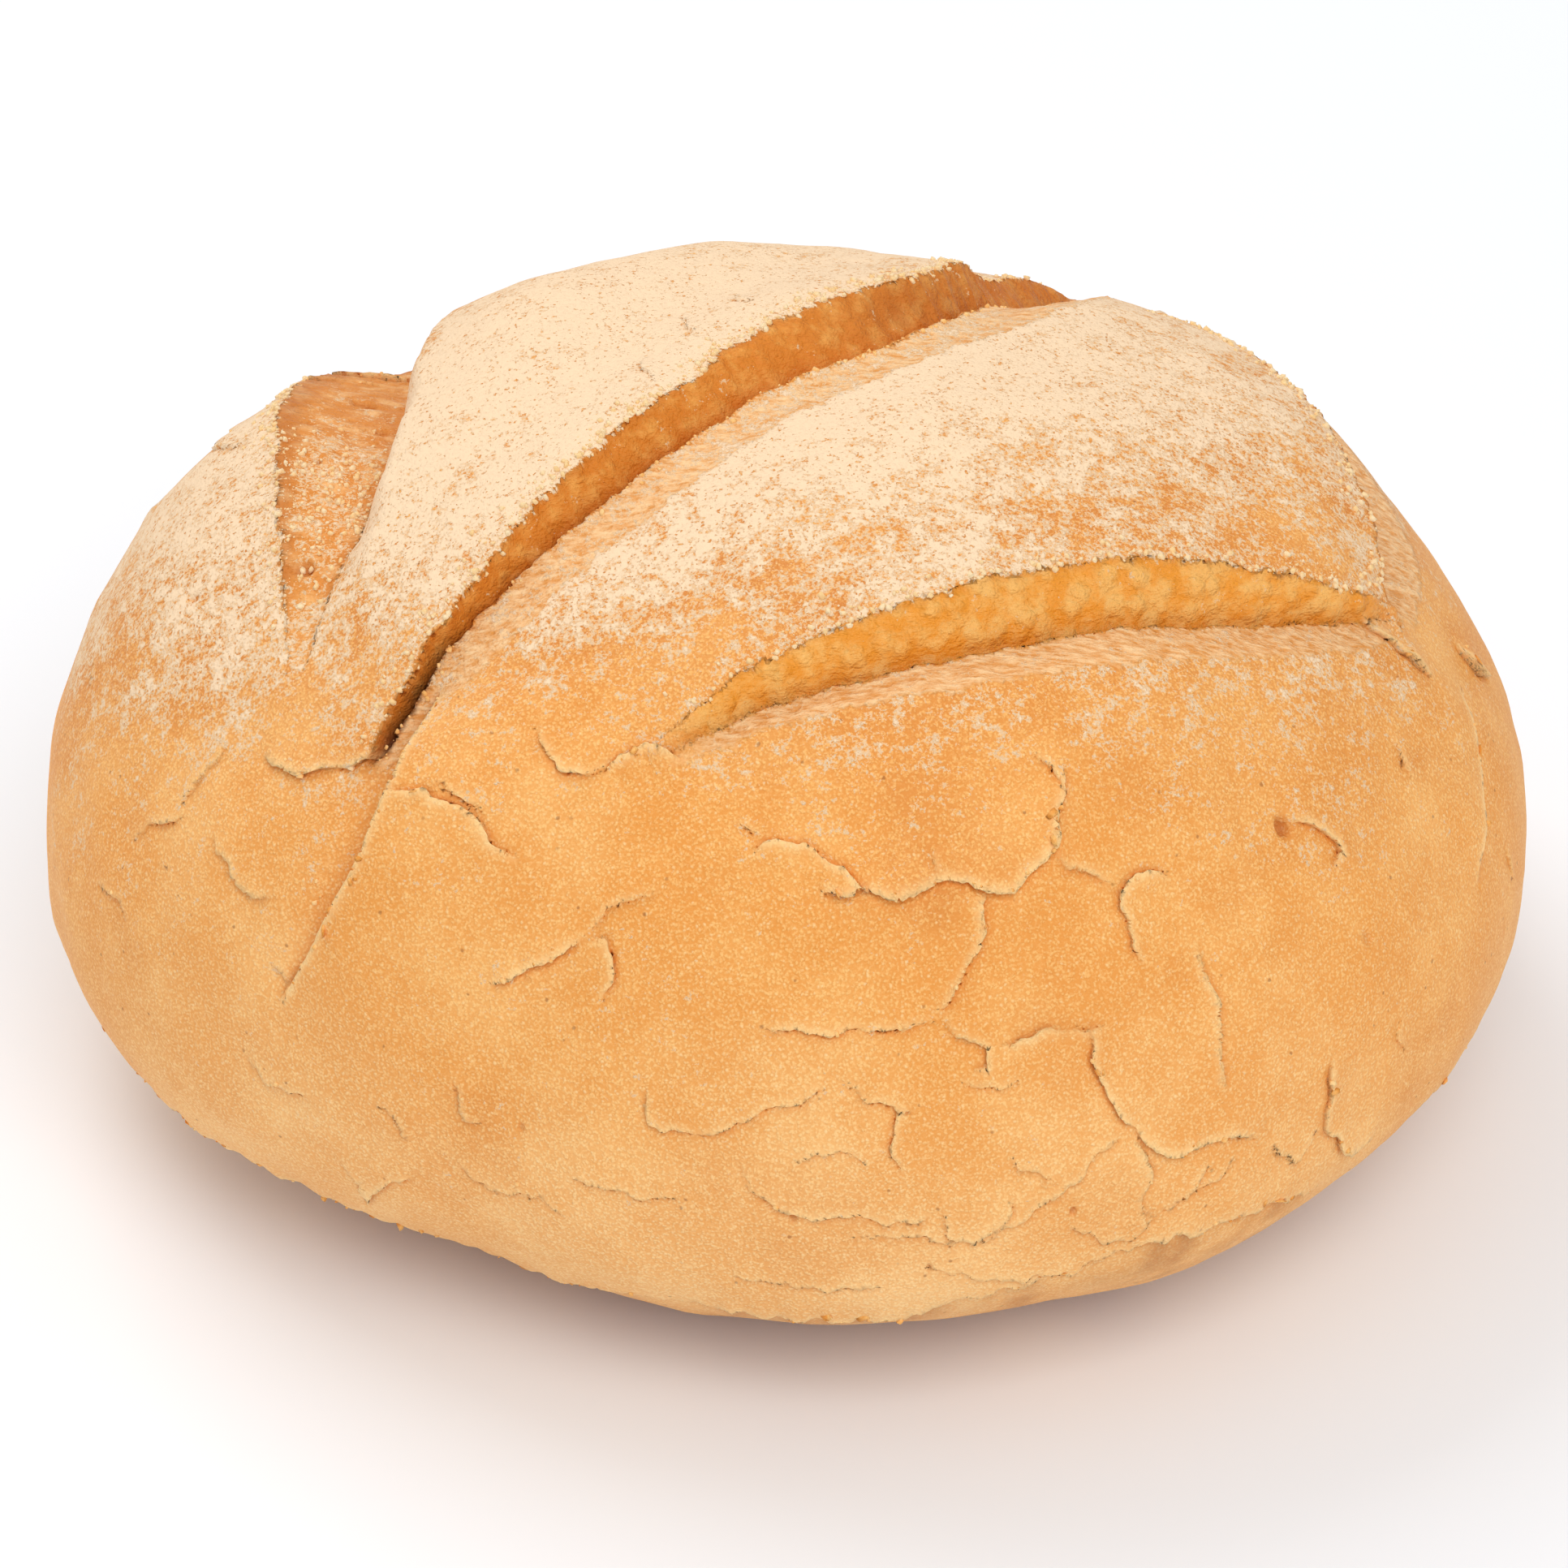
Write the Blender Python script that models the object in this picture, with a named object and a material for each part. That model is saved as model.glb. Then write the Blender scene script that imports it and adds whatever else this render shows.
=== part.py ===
"""A cob loaf: a round white loaf with four deep slashes in its crown, modelled as one solid.

The loaf starts as an icosphere. Each of its points is a direction from the middle of the dough.
The plain body gives that direction a distance, and then the ridges, slashes, folds and flakes of the
crust raise or sink the point. A plane cuts the foot flat, where the loaf stood on the oven's floor.

Places on the crust are given on a skin map: (0, 0) is the crown, u runs to the right, v runs to the
back, and the distance from (0, 0) is the angle away from the crown times SKIN_PER_RADIAN.
"""

import bmesh
import bpy
import numpy as np
from mathutils import Vector, noise

MM = 0.001

# Driving sizes of the plain body
HALF_WIDTH = 106 * MM
HALF_DEPTH = 91.5 * MM
BELT_HEIGHT = 37.5 * MM
CROWN_RISE = 76.5 * MM
DOME_POWER = 2.1
FOOT_POWER = 2.3
FOOT_REACH = 1.157
THREE_LOBE = -0.03
SKIN_PER_RADIAN = 90 * MM

# Broad swellings of the body: bearing and angle from the crown in degrees, spread and rise
SWELLS = (
    (150, 62, 45 * MM, 2.5 * MM),
    (100, 45, 45 * MM, 1.8 * MM),
    (40, 60, 45 * MM, 3.0 * MM),
    (0, 85, 45 * MM, 2.6 * MM),
    (18, 69, 22 * MM, -2.4 * MM),
    (64, 45, 12 * MM, -3.4 * MM),
    (104, 37, 14 * MM, 1.4 * MM),
    (215, 100, 45 * MM, -1.4 * MM),
    (238, 105, 28 * MM, -3.2 * MM),
    (275, 106, 30 * MM, -0.9 * MM),
    (294, 103, 18 * MM, -1.8 * MM),
    (330, 105, 35 * MM, -1.6 * MM),
)

# Ridges between the slashes, with stations along the spine: u, v and rise in millimetres
TALL_RIDGE = (
    (-72, -38, 0), (-58, -13, 3), (-46, 11, 5), (-36, 32, 6), (-14, 46, 3.6), (2, 54, 1.2), (14, 62, 0),
)
BROAD_RIDGE = ((-52, -62, 0), (-24, -46, 2.2), (8, -26, 3), (40, -8, 3), (68, 4, 2.4), (84, 12, 0))
LEFT_LOBE = ((-108, -26, 0), (-93, -8, 1.8), (-87, 14, 2.0), (-86, 32, 0.6), (-86, 46, 0))
FRONT_LOBE = ((0, -84, 0), (32, -72, 1.6), (64, -56, 1.8), (92, -44, 0))
RIDGES = ((TALL_RIDGE, 18 * MM), (BROAD_RIDGE, 19 * MM), (LEFT_LOBE, 14 * MM), (FRONT_LOBE, 14 * MM))

# Slashes, with stations along the crease: u, v, width of the wall on the left of the way along,
# width of the strip on its right, depth of the crease, height of the lip, and how far the lip leans
# back over the crease, in millimetres
LEFT_SLASH = (
    (-76, -40, 2.5, 2.5, 0.0, 0.0, 0),
    (-71, -26, 5.5, 4.0, 3.2, 0.4, 0),
    (-67, -11, 10.5, 5.6, 5.8, 0.6, 0),
    (-64.5, 7, 13.5, 6.2, 8.0, 0.8, 0),
    (-64, 26, 15.0, 6.6, 10.4, 0.8, 0),
    (-60, 45, 19.0, 7.0, 11.6, 0.8, 0),
    (-54, 62, 21.0, 7.0, 10.4, 0.6, 0),
    (-48, 80, 15.0, 5.6, 6.0, 0.3, 0),
    (-40, 98, 2.5, 2.5, 0.0, 0.0, 0),
)
MIDDLE_SLASH = (
    (-65, -57, 2.5, 2.5, 0.0, 0.0, 0),
    (-52, -41, 2.6, 9.5, 3.6, 2.8, 5.0),
    (-37, -29, 2.8, 11.0, 4.4, 4.0, 4.1),
    (-24, -16, 3.2, 12.0, 5.0, 4.4, 1.9),
    (-11, -1, 4.4, 13.0, 5.2, 4.4, 0.4),
    (3, 11.5, 6.6, 12.5, 5.2, 4.4, 0),
    (17, 22, 5.6, 12.0, 5.4, 3.4, 1.2),
    (30, 34, 4.6, 12.0, 5.4, 1.8, 1.2),
    (44, 49, 3.2, 9.0, 4.0, 0.6, 0.5),
    (57, 66, 2.5, 2.5, 0.0, 0.0, 0),
)
RIGHT_SLASH = (
    (-21, -71, 2.5, 2.5, 0.0, 0.0, 0),
    (-8, -65.5, 3.8, 4.8, 3.2, 1.8, 0),
    (12, -59, 6.0, 6.0, 4.8, 2.8, 0),
    (32, -51, 7.4, 7.2, 5.4, 3.2, 0),
    (52, -40.5, 6.8, 8.2, 5.2, 3.2, 0),
    (70, -31.5, 6.0, 7.4, 4.6, 3.0, 0.5),
    (84, -23, 3.8, 5.0, 3.0, 2.4, 1.2),
    (93, -16, 2.5, 2.5, 0.0, 0.0, 0),
)
FAR_SLASH = (
    (94, -17, 2.5, 2.5, 0.0, 0.0, 0),
    (90, -5, 2.6, 9.0, 3.6, 2.4, 1.0),
    (88, 10, 3.4, 11.0, 5.0, 2.8, 0.6),
    (82, 29, 4.2, 12.0, 5.2, 2.8, 0),
    (73, 46, 3.6, 9.0, 3.6, 1.8, 0),
    (61, 61, 2.5, 2.5, 0.0, 0.0, 0),
)

# Folds and the largest flakes of the crust, with the raised side on the left of the way along:
# stations with u, v and height of the step, then how far its raised and its sunk side reach
SIDE_FOLD = ((-56, -52, 0.0), (-58, -61, 4.6), (-65.5, -71, 5.0), (-77, -77, 3.4), (-93, -80, 0.0))
LOBE_EDGE = ((-60, -53, 0.0), (-62, -58, 3.0), (-69, -60, 2.8), (-80, -54, 1.6), (-92, -45, 0.0))
APRON_EDGE = ((41, -68, 0.0), (39, -80, 1.8), (27, -87, 2.2), (12, -90, 2.0), (-7, -84, 0.0))
FRONT_TEAR = ((31, -87, 0.0), (30, -95, 1.8), (25, -104, 1.8), (14, -108, 1.2), (2, -110, 0.0))
LOW_FLAKE = ((86, -104, 0.0), (73, -110, 1.8), (61, -113, 2.0), (51, -107, 1.8), (39, -105, 0.0))
SHOULDER_FLAP = ((85, -20, 0.0), (90, -23, 2.4), (97, -24, 2.2), (105, -28, 0.0))
EAR_FLAP = ((104, -15, 0.0), (109, -9, 3.0), (114, -5, 2.4), (119, 3, 0.0))
RIM_FLAKE = ((-46, -71, 0.0), (-38, -76, 1.6), (-29, -73, 2.0), (-19, -73, 0.0))
FRONT_FLAKE = ((-47, -82, 0.0), (-41, -93, 1.4), (-46, -97, 1.6), (-58, -98, 0.0))
STEPS = (
    (SIDE_FOLD, 22 * MM, 11 * MM),
    (LOBE_EDGE, 12 * MM, 6 * MM),
    (APRON_EDGE, 9 * MM, 4 * MM),
    (FRONT_TEAR, 8 * MM, 4 * MM),
    (LOW_FLAKE, 8 * MM, 4 * MM),
    (SHOULDER_FLAP, 9 * MM, 5 * MM),
    (EAR_FLAP, 8 * MM, 6 * MM),
    (RIM_FLAKE, 8 * MM, 4 * MM),
    (FRONT_FLAKE, 8 * MM, 4 * MM),
)
STEP_WALL = 2 * MM
SUNK_SHARE = 0.4
STEP_LEAN = 0.5

# How each slash's wall and strip rise from the crease, and how far the lip's swelling reaches
CUT_PROFILES = (
    (LEFT_SLASH, 1.2, 1.5, 16 * MM),
    (MIDDLE_SLASH, 0.9, 1.3, 14 * MM),
    (RIGHT_SLASH, 0.7, 1.4, 14 * MM),
    (FAR_SLASH, 0.9, 1.3, 14 * MM),
)
STEP_WALL_POWER = 0.8
STEP_STRIP_POWER = 2.0

# Unevenness of the dough: size of the dents and how far they go in or out
DENTS = ((34 * MM, 1.1 * MM), (13 * MM, 0.45 * MM))

# Lengths that the edges of the mesh are split down to, and the band round a crest line
PLAIN_EDGE = 9.6 * MM
SLASH_EDGE = 3.7 * MM
CREST_EDGE = 2.6 * MM
CREST_BAND = 1.5 * MM
SPHERE_LEVEL = 4
PATH_STEPS = 8

CRUST_COLOUR = (0.80, 0.47, 0.17, 1.0)
CRUST_ROUGHNESS = 0.78


def direction_at(u, v):
    """Directions from the middle of the dough to places on the skin map."""
    tilt = np.hypot(u, v) / SKIN_PER_RADIAN
    bearing = np.arctan2(v, u)
    return np.stack([np.sin(tilt) * np.cos(bearing), np.sin(tilt) * np.sin(bearing), np.cos(tilt)], -1)


def skin_place(direction):
    """The places on the skin map that lie in these directions."""
    away = np.arccos(np.clip(direction[:, 2], -1, 1)) * SKIN_PER_RADIAN
    bearing = np.arctan2(direction[:, 1], direction[:, 0])
    return away * np.cos(bearing), away * np.sin(bearing)


def body_radius(direction):
    """How far the plain body reaches in each direction."""
    bearing = np.arctan2(direction[:, 1], direction[:, 0])
    level = np.hypot(direction[:, 0], direction[:, 1])
    outline = 1 / np.hypot(np.cos(bearing) / HALF_WIDTH, np.sin(bearing) / HALF_DEPTH)
    outline *= 1 + THREE_LOBE * np.cos(3 * bearing)
    upper = direction[:, 2] > 0
    power = np.where(upper, DOME_POWER, FOOT_POWER)
    height = np.where(upper, CROWN_RISE, BELT_HEIGHT * FOOT_REACH)
    radius = ((level / outline) ** power + (np.abs(direction[:, 2]) / height) ** power) ** (-1 / power)
    for bearing_degrees, tilt_degrees, spread, rise in SWELLS:
        reach = SKIN_PER_RADIAN * np.radians(tilt_degrees)
        centre = direction_at(
            reach * np.cos(np.radians(bearing_degrees)), reach * np.sin(np.radians(bearing_degrees))
        )
        away = np.arccos(np.clip(direction @ centre, -1, 1)) * SKIN_PER_RADIAN
        radius += rise * np.exp(-((away / spread) ** 2))
    return radius


def body_point(direction):
    """Points of the plain body, with its foot plane at zero height."""
    return direction * body_radius(direction)[:, None] + np.array([0, 0, BELT_HEIGHT])


def body_normal(direction):
    """Outward normals of the plain body, from points a small turn away on either side."""
    turn = 0.001
    helper = np.where(np.abs(direction[:, 2:]) < 0.9, [[0, 0, 1.0]], [[1.0, 0, 0]])
    first = np.cross(helper, direction)
    first /= np.linalg.norm(first, axis=1, keepdims=True)
    second = np.cross(direction, first)

    def slope(side):
        ahead = direction + side * turn
        behind = direction - side * turn
        ahead /= np.linalg.norm(ahead, axis=1, keepdims=True)
        behind /= np.linalg.norm(behind, axis=1, keepdims=True)
        return body_point(ahead) - body_point(behind)

    normal = np.cross(slope(first), slope(second))
    return normal / np.linalg.norm(normal, axis=1, keepdims=True)


def smooth_path(stations):
    """A Catmull-Rom curve through the stations, in metres, in every column alike."""
    rows = np.array(stations, float) * MM
    rows = np.vstack([2 * rows[0] - rows[1], rows, 2 * rows[-1] - rows[-2]])
    share = np.arange(PATH_STEPS)[:, None] / PATH_STEPS
    pieces = []
    for before, start, end, after in zip(rows, rows[1:], rows[2:], rows[3:]):
        bend = 2 * before - 5 * start + 4 * end - after
        twist = 3 * (start - end) + after - before
        pieces.append(start + 0.5 * share * (end - before + share * (bend + share * twist)))
    path = np.vstack(pieces + [rows[-2:-1]])
    path[:, 2:] = np.maximum(path[:, 2:], 0)
    return path


def step_path(stations, sunk_reach):
    """A step as a narrow slash: the columns that smooth_path gives for one of the slashes."""
    path = smooth_path(stations)
    height = path[:, 2]
    wall = np.full(len(path), STEP_WALL)
    strip = np.full(len(path), sunk_reach)
    lip = (1 - SUNK_SHARE) * height
    return np.column_stack([path[:, :2], wall, strip, SUNK_SHARE * height, lip, STEP_LEAN * height])


def crust_lines():
    """Every slash and step as its path, the powers of its wall and strip, and its lip's reach."""
    lines = [(smooth_path(stations), *profile) for stations, *profile in CUT_PROFILES]
    for stations, raised_reach, sunk_reach in STEPS:
        lines.append((step_path(stations, sunk_reach), STEP_WALL_POWER, STEP_STRIP_POWER, raised_reach))
    return lines


def beside_path(u, v, path):
    """For each place: its distance from the path, positive on the left, the path's columns at the
    nearest point, and the direction that leads straight away to the left there."""
    place = np.stack([u, v], -1)
    nearest = np.full(len(place), np.inf)
    offset = np.zeros(len(place))
    columns = np.zeros((len(place), path.shape[1]))
    left = np.zeros((len(place), 2))
    for row, next_row in zip(path, path[1:]):
        way = next_row[:2] - row[:2]
        share = np.clip((place - row[:2]) @ way / (way @ way), 0, 1)
        here = row + share[:, None] * (next_row - row)
        gap = place - here[:, :2]
        distance = np.hypot(gap[:, 0], gap[:, 1])
        closer = distance < nearest
        side = np.where(way[0] * gap[:, 1] - way[1] * gap[:, 0] < 0, -1, 1)
        nearest[closer] = distance[closer]
        offset[closer] = (distance * side)[closer]
        columns[closer] = here[closer]
        left[closer] = np.array([-way[1], way[0]]) / np.hypot(way[0], way[1])
    return offset, columns, left


def line_relief(offset, columns, wall_power, strip_power, shoulder):
    """Height of a slash or step: a wall up to its lip on the left, a gentler strip on the right.
    Also how far the crust leans to the right there."""
    wall, strip, depth, lip, lean = columns.T[2:]
    climb = np.clip(offset / np.maximum(wall, MM), 0, 1)
    rise = np.clip(-offset / np.maximum(strip, MM), 0, 1)
    fading = np.exp(-((np.maximum(offset - wall, 0) / shoulder) ** 2))
    wall_height = -depth + (depth + lip) * climb**wall_power
    strip_height = -depth * (1 - rise) ** strip_power
    height = np.where(offset > wall, lip * fading, np.where(offset > 0, wall_height, strip_height))
    return height, lean * climb * fading


def dent_relief(points):
    """Slow unevenness of the dough, from seamless noise in space."""
    height = np.zeros(len(points))
    for size, amount in DENTS:
        height += [amount * noise.noise(Vector(point / size)) for point in points]
    return height


def crust_point(direction):
    """Points of the crust: the plain body, raised and leaning as every ridge, slash and step asks."""
    u, v = skin_place(direction)
    height = dent_relief(body_point(direction))
    for stations, spread in RIDGES:
        offset, columns, _ = beside_path(u, v, smooth_path(stations))
        height += columns[:, 2] * np.exp(-((offset / spread) ** 2))
    moved = np.stack([u, v], -1)
    for path, *profile in crust_lines():
        offset, columns, left = beside_path(u, v, path)
        rise, lean = line_relief(offset, columns, *profile)
        height += rise
        moved -= lean[:, None] * left
    leaning = direction_at(moved[:, 0], moved[:, 1])
    return body_point(leaning) + body_normal(leaning) * height[:, None]


def wanted_edge(direction):
    """The longest edge that the mesh may keep at each place."""
    u, v = skin_place(direction)
    wanted = np.full(len(direction), PLAIN_EDGE)
    for path, *_ in crust_lines():
        offset, columns, _ = beside_path(u, v, path)
        wall, strip = columns[:, 2], columns[:, 3]
        inside = (offset < wall + 2 * CREST_BAND) & (offset > -strip)
        wanted[inside] = np.minimum(wanted[inside], SLASH_EDGE)
        crest = (np.abs(offset) < CREST_BAND) | (np.abs(offset - wall) < CREST_BAND)
        wanted[crest] = CREST_EDGE
    return wanted


def directions_of(mesh_points):
    """The mesh's points as an array of unit vectors."""
    found = np.array([point.co for point in mesh_points])
    return found / np.linalg.norm(found, axis=1, keepdims=True)


def split_long_edges(bm):
    """Splits the sphere's edges until each is as short as its place wants, and keeps it a sphere."""
    while True:
        edges = list(bm.edges)
        ends = np.array([[vert.co for vert in edge.verts] for edge in edges])
        middle = ends.mean(axis=1)
        middle /= np.linalg.norm(middle, axis=1, keepdims=True)
        length = np.linalg.norm(ends[:, 0] - ends[:, 1], axis=1) * SKIN_PER_RADIAN
        too_long = np.flatnonzero(length > wanted_edge(middle))
        if len(too_long) == 0:
            return
        bmesh.ops.subdivide_edges(bm, edges=[edges[i] for i in too_long], cuts=1, use_grid_fill=True)
        bmesh.ops.triangulate(bm, faces=[face for face in bm.faces if len(face.verts) > 3])
        for vert in bm.verts:
            vert.co.normalize()


def snap_to_crests(direction):
    """Moves the points beside a crease or a lip onto that line, so that its edge runs clean."""
    u, v = skin_place(direction)
    for path, *_ in crust_lines():
        offset, columns, left = beside_path(u, v, path)
        wall = columns[:, 2]
        move = np.where(offset > wall / 2, wall, 0) - offset
        near = (np.abs(move) < CREST_EDGE / 2) & (columns[:, 4] + columns[:, 5] > 0.5 * MM)
        u[near] += (move * left[:, 0])[near]
        v[near] += (move * left[:, 1])[near]
    return direction_at(u, v)


def crust_material():
    material = bpy.data.materials.new("baked_crust")
    material.use_nodes = True
    shader = material.node_tree.nodes["Principled BSDF"]
    shader.inputs["Base Color"].default_value = CRUST_COLOUR
    shader.inputs["Roughness"].default_value = CRUST_ROUGHNESS
    shader.inputs["Metallic"].default_value = 0.0
    material.diffuse_color = CRUST_COLOUR
    return material


def cut_foot_flat(bm):
    """Cuts the loaf at zero height and closes the cut with one flat face."""
    everything = bm.verts[:] + bm.edges[:] + bm.faces[:]
    bmesh.ops.bisect_plane(bm, geom=everything, plane_co=(0, 0, 0), plane_no=(0, 0, 1), clear_inner=True)
    rim = [edge for edge in bm.edges if edge.is_boundary]
    bmesh.ops.edgeloop_fill(bm, edges=rim)


def centre_on_foot(bm):
    """Moves the loaf so that the middle of its box stands over the origin."""
    points = np.array([vert.co for vert in bm.verts])
    middle = (points.min(axis=0) + points.max(axis=0)) / 2
    bmesh.ops.translate(bm, verts=bm.verts, vec=(-middle[0], -middle[1], 0))


def make_loaf(collection):
    bm = bmesh.new()
    bmesh.ops.create_icosphere(bm, subdivisions=SPHERE_LEVEL, radius=1.0)
    split_long_edges(bm)
    direction = snap_to_crests(directions_of(bm.verts))
    for vert, point in zip(bm.verts, crust_point(direction)):
        vert.co = point
    cut_foot_flat(bm)
    centre_on_foot(bm)
    bmesh.ops.recalc_face_normals(bm, faces=bm.faces)
    mesh = bpy.data.meshes.new("loaf")
    bm.to_mesh(mesh)
    bm.free()
    mesh.shade_smooth()
    mesh.materials.append(crust_material())
    loaf = bpy.data.objects.new("loaf", mesh)
    collection.objects.link(loaf)
    return loaf


def main():
    for old in list(bpy.data.objects):
        bpy.data.objects.remove(old)
    collection = bpy.data.collections.new("cob_loaf")
    bpy.context.scene.collection.children.link(collection)
    make_loaf(collection)


main()
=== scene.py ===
# %% [markdown]
# # A cob loaf
#
# This lesson bakes a round white loaf in Blender. Four slashes opened in its crown as it rose, flour
# lies on the skin between them, and the thin crust has cracked into flakes. The shape comes first,
# then the flour and the crumbs that lie on it, then the finishes, and the light and camera come last.
#
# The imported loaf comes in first. Its box is kept, because everything made here has to stay inside it.

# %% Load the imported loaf
import math

import bmesh
import bpy
import numpy as np
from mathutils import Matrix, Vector, noise


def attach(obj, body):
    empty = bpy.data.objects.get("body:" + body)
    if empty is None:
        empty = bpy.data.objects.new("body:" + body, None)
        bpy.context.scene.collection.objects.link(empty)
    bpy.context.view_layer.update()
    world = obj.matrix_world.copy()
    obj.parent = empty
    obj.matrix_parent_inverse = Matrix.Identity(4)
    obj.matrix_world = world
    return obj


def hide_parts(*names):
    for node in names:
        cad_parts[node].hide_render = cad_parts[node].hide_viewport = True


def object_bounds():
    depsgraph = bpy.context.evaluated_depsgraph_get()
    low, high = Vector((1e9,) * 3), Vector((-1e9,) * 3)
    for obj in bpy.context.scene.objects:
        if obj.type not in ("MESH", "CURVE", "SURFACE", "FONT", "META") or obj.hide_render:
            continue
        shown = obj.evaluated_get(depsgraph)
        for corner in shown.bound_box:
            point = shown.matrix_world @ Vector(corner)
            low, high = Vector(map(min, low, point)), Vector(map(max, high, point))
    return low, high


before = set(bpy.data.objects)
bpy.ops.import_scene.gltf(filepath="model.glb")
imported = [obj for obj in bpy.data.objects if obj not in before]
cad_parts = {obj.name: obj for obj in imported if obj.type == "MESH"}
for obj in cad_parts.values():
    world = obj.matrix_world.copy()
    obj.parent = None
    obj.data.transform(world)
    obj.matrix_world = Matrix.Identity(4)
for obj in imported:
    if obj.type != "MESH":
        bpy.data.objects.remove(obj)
packed_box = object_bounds()
print("packed loaf:", packed_box)

# %% [markdown]
# ## The plain body
#
# A risen loaf is a wide, low dome on a tucked foot. A sphere could be squashed into one, but a rule is
# easier to control: each point is a direction from the middle of the dough, and a superellipse says
# how far the dough reaches there. Swellings and dips make it as uneven as a loaf shaped by hand.
#
# Places on the crust are given on a skin map: (0, 0) is the crown, u runs to the right, v to the back,
# and the distance from (0, 0) is the angle away from the crown times SKIN_PER_RADIAN.

# %% Sizes of the plain body
MM = 0.001
HALF_WIDTH = 106 * MM
HALF_DEPTH = 91.5 * MM
BELT_HEIGHT = 37.5 * MM
CROWN_RISE = 76.5 * MM
DOME_POWER = 2.1
FOOT_POWER = 2.3
FOOT_REACH = 1.157
THREE_LOBE = -0.03
SKIN_PER_RADIAN = 90 * MM

# Swellings and dips: bearing and angle from the crown in degrees, spread and rise
SWELLS = (
    (150, 62, 45 * MM, 2.5 * MM),
    (100, 45, 45 * MM, 1.8 * MM),
    (40, 60, 45 * MM, 3.0 * MM),
    (0, 85, 45 * MM, 2.6 * MM),
    (18, 69, 22 * MM, -2.4 * MM),
    (64, 45, 12 * MM, -3.4 * MM),
    (104, 37, 14 * MM, 1.4 * MM),
    (215, 100, 45 * MM, -1.4 * MM),
    (238, 105, 28 * MM, -3.2 * MM),
    (275, 106, 30 * MM, -0.9 * MM),
    (294, 103, 18 * MM, -1.8 * MM),
    (330, 105, 35 * MM, -1.6 * MM),
)


# %% Soft steps and bells
def smooth_step(low, high, value):
    """0 below low, 1 above high, and an even rise between."""
    share = np.clip((value - low) / (high - low), 0, 1)
    return share * share * (3 - 2 * share)


def bell(value, spread):
    """1 where the value is 0, falling away softly on both sides."""
    return np.exp(-((value / spread) ** 2))


# %% Places on the skin map and points of the plain body
def direction_at(u, v):
    """Directions from the middle of the dough to places on the skin map."""
    tilt = np.hypot(u, v) / SKIN_PER_RADIAN
    bearing = np.arctan2(v, u)
    return np.stack([np.sin(tilt) * np.cos(bearing), np.sin(tilt) * np.sin(bearing), np.cos(tilt)], -1)


def skin_place(direction):
    """The places on the skin map that lie in these directions."""
    away = np.arccos(np.clip(direction[:, 2], -1, 1)) * SKIN_PER_RADIAN
    bearing = np.arctan2(direction[:, 1], direction[:, 0])
    return away * np.cos(bearing), away * np.sin(bearing)


def body_radius(direction):
    """How far the plain body reaches in each direction."""
    bearing = np.arctan2(direction[:, 1], direction[:, 0])
    level = np.hypot(direction[:, 0], direction[:, 1])
    outline = 1 / np.hypot(np.cos(bearing) / HALF_WIDTH, np.sin(bearing) / HALF_DEPTH)
    outline *= 1 + THREE_LOBE * np.cos(3 * bearing)
    upper = direction[:, 2] > 0
    power = np.where(upper, DOME_POWER, FOOT_POWER)
    height = np.where(upper, CROWN_RISE, BELT_HEIGHT * FOOT_REACH)
    radius = ((level / outline) ** power + (np.abs(direction[:, 2]) / height) ** power) ** (-1 / power)
    for bearing_degrees, tilt_degrees, spread, rise in SWELLS:
        reach = SKIN_PER_RADIAN * math.radians(tilt_degrees)
        turned = math.radians(bearing_degrees)
        centre = direction_at(reach * math.cos(turned), reach * math.sin(turned))
        away = np.arccos(np.clip(direction @ centre, -1, 1)) * SKIN_PER_RADIAN
        radius += rise * bell(away, spread)
    return radius


def body_point(direction):
    """Points of the plain body, with its foot plane at zero height."""
    return direction * body_radius(direction)[:, None] + np.array([0, 0, BELT_HEIGHT])


def body_normal(direction):
    """Outward normals of the plain body, from points a small turn away on either side."""
    turn = 0.001
    helper = np.where(np.abs(direction[:, 2:]) < 0.9, [[0, 0, 1.0]], [[1.0, 0, 0]])
    first = np.cross(helper, direction)
    first /= np.linalg.norm(first, axis=1, keepdims=True)
    second = np.cross(direction, first)

    def slope(side):
        ahead = direction + side * turn
        behind = direction - side * turn
        ahead /= np.linalg.norm(ahead, axis=1, keepdims=True)
        behind /= np.linalg.norm(behind, axis=1, keepdims=True)
        return body_point(ahead) - body_point(behind)

    normal = np.cross(slope(first), slope(second))
    return normal / np.linalg.norm(normal, axis=1, keepdims=True)


# %% [markdown]
# ## Slashes, folds and cracks as lines on the skin
#
# A baker's blade opens the skin along a line. The dough tears wider as it rises, so one side becomes
# a steep wall under a floured lip and the other a gentler strip of fresh crust. Sculpting them by hand
# would be slow to correct, so each is a line of stations, and a rule gives the height beside it.
# Folds and cracks are small versions of the same thing: a step, with the raised skin on the left.

# %% Lines through stations
PATH_STEPS = 8


def smooth_path(stations):
    """A Catmull-Rom curve through the stations, in metres, in every column alike."""
    rows = np.array(stations, float) * MM
    rows = np.vstack([2 * rows[0] - rows[1], rows, 2 * rows[-1] - rows[-2]])
    share = np.arange(PATH_STEPS)[:, None] / PATH_STEPS
    pieces = []
    for before, start, end, after in zip(rows, rows[1:], rows[2:], rows[3:]):
        bend = 2 * before - 5 * start + 4 * end - after
        twist = 3 * (start - end) + after - before
        pieces.append(start + 0.5 * share * (end - before + share * (bend + share * twist)))
    return np.vstack(pieces + [rows[-2:-1]])


def with_length(path):
    """The path with one more column: how far along it each of its points lies."""
    steps = np.hypot(*np.diff(path[:, :2], axis=0).T)
    return np.column_stack([path, np.concatenate([[0], np.cumsum(steps)])])


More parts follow.
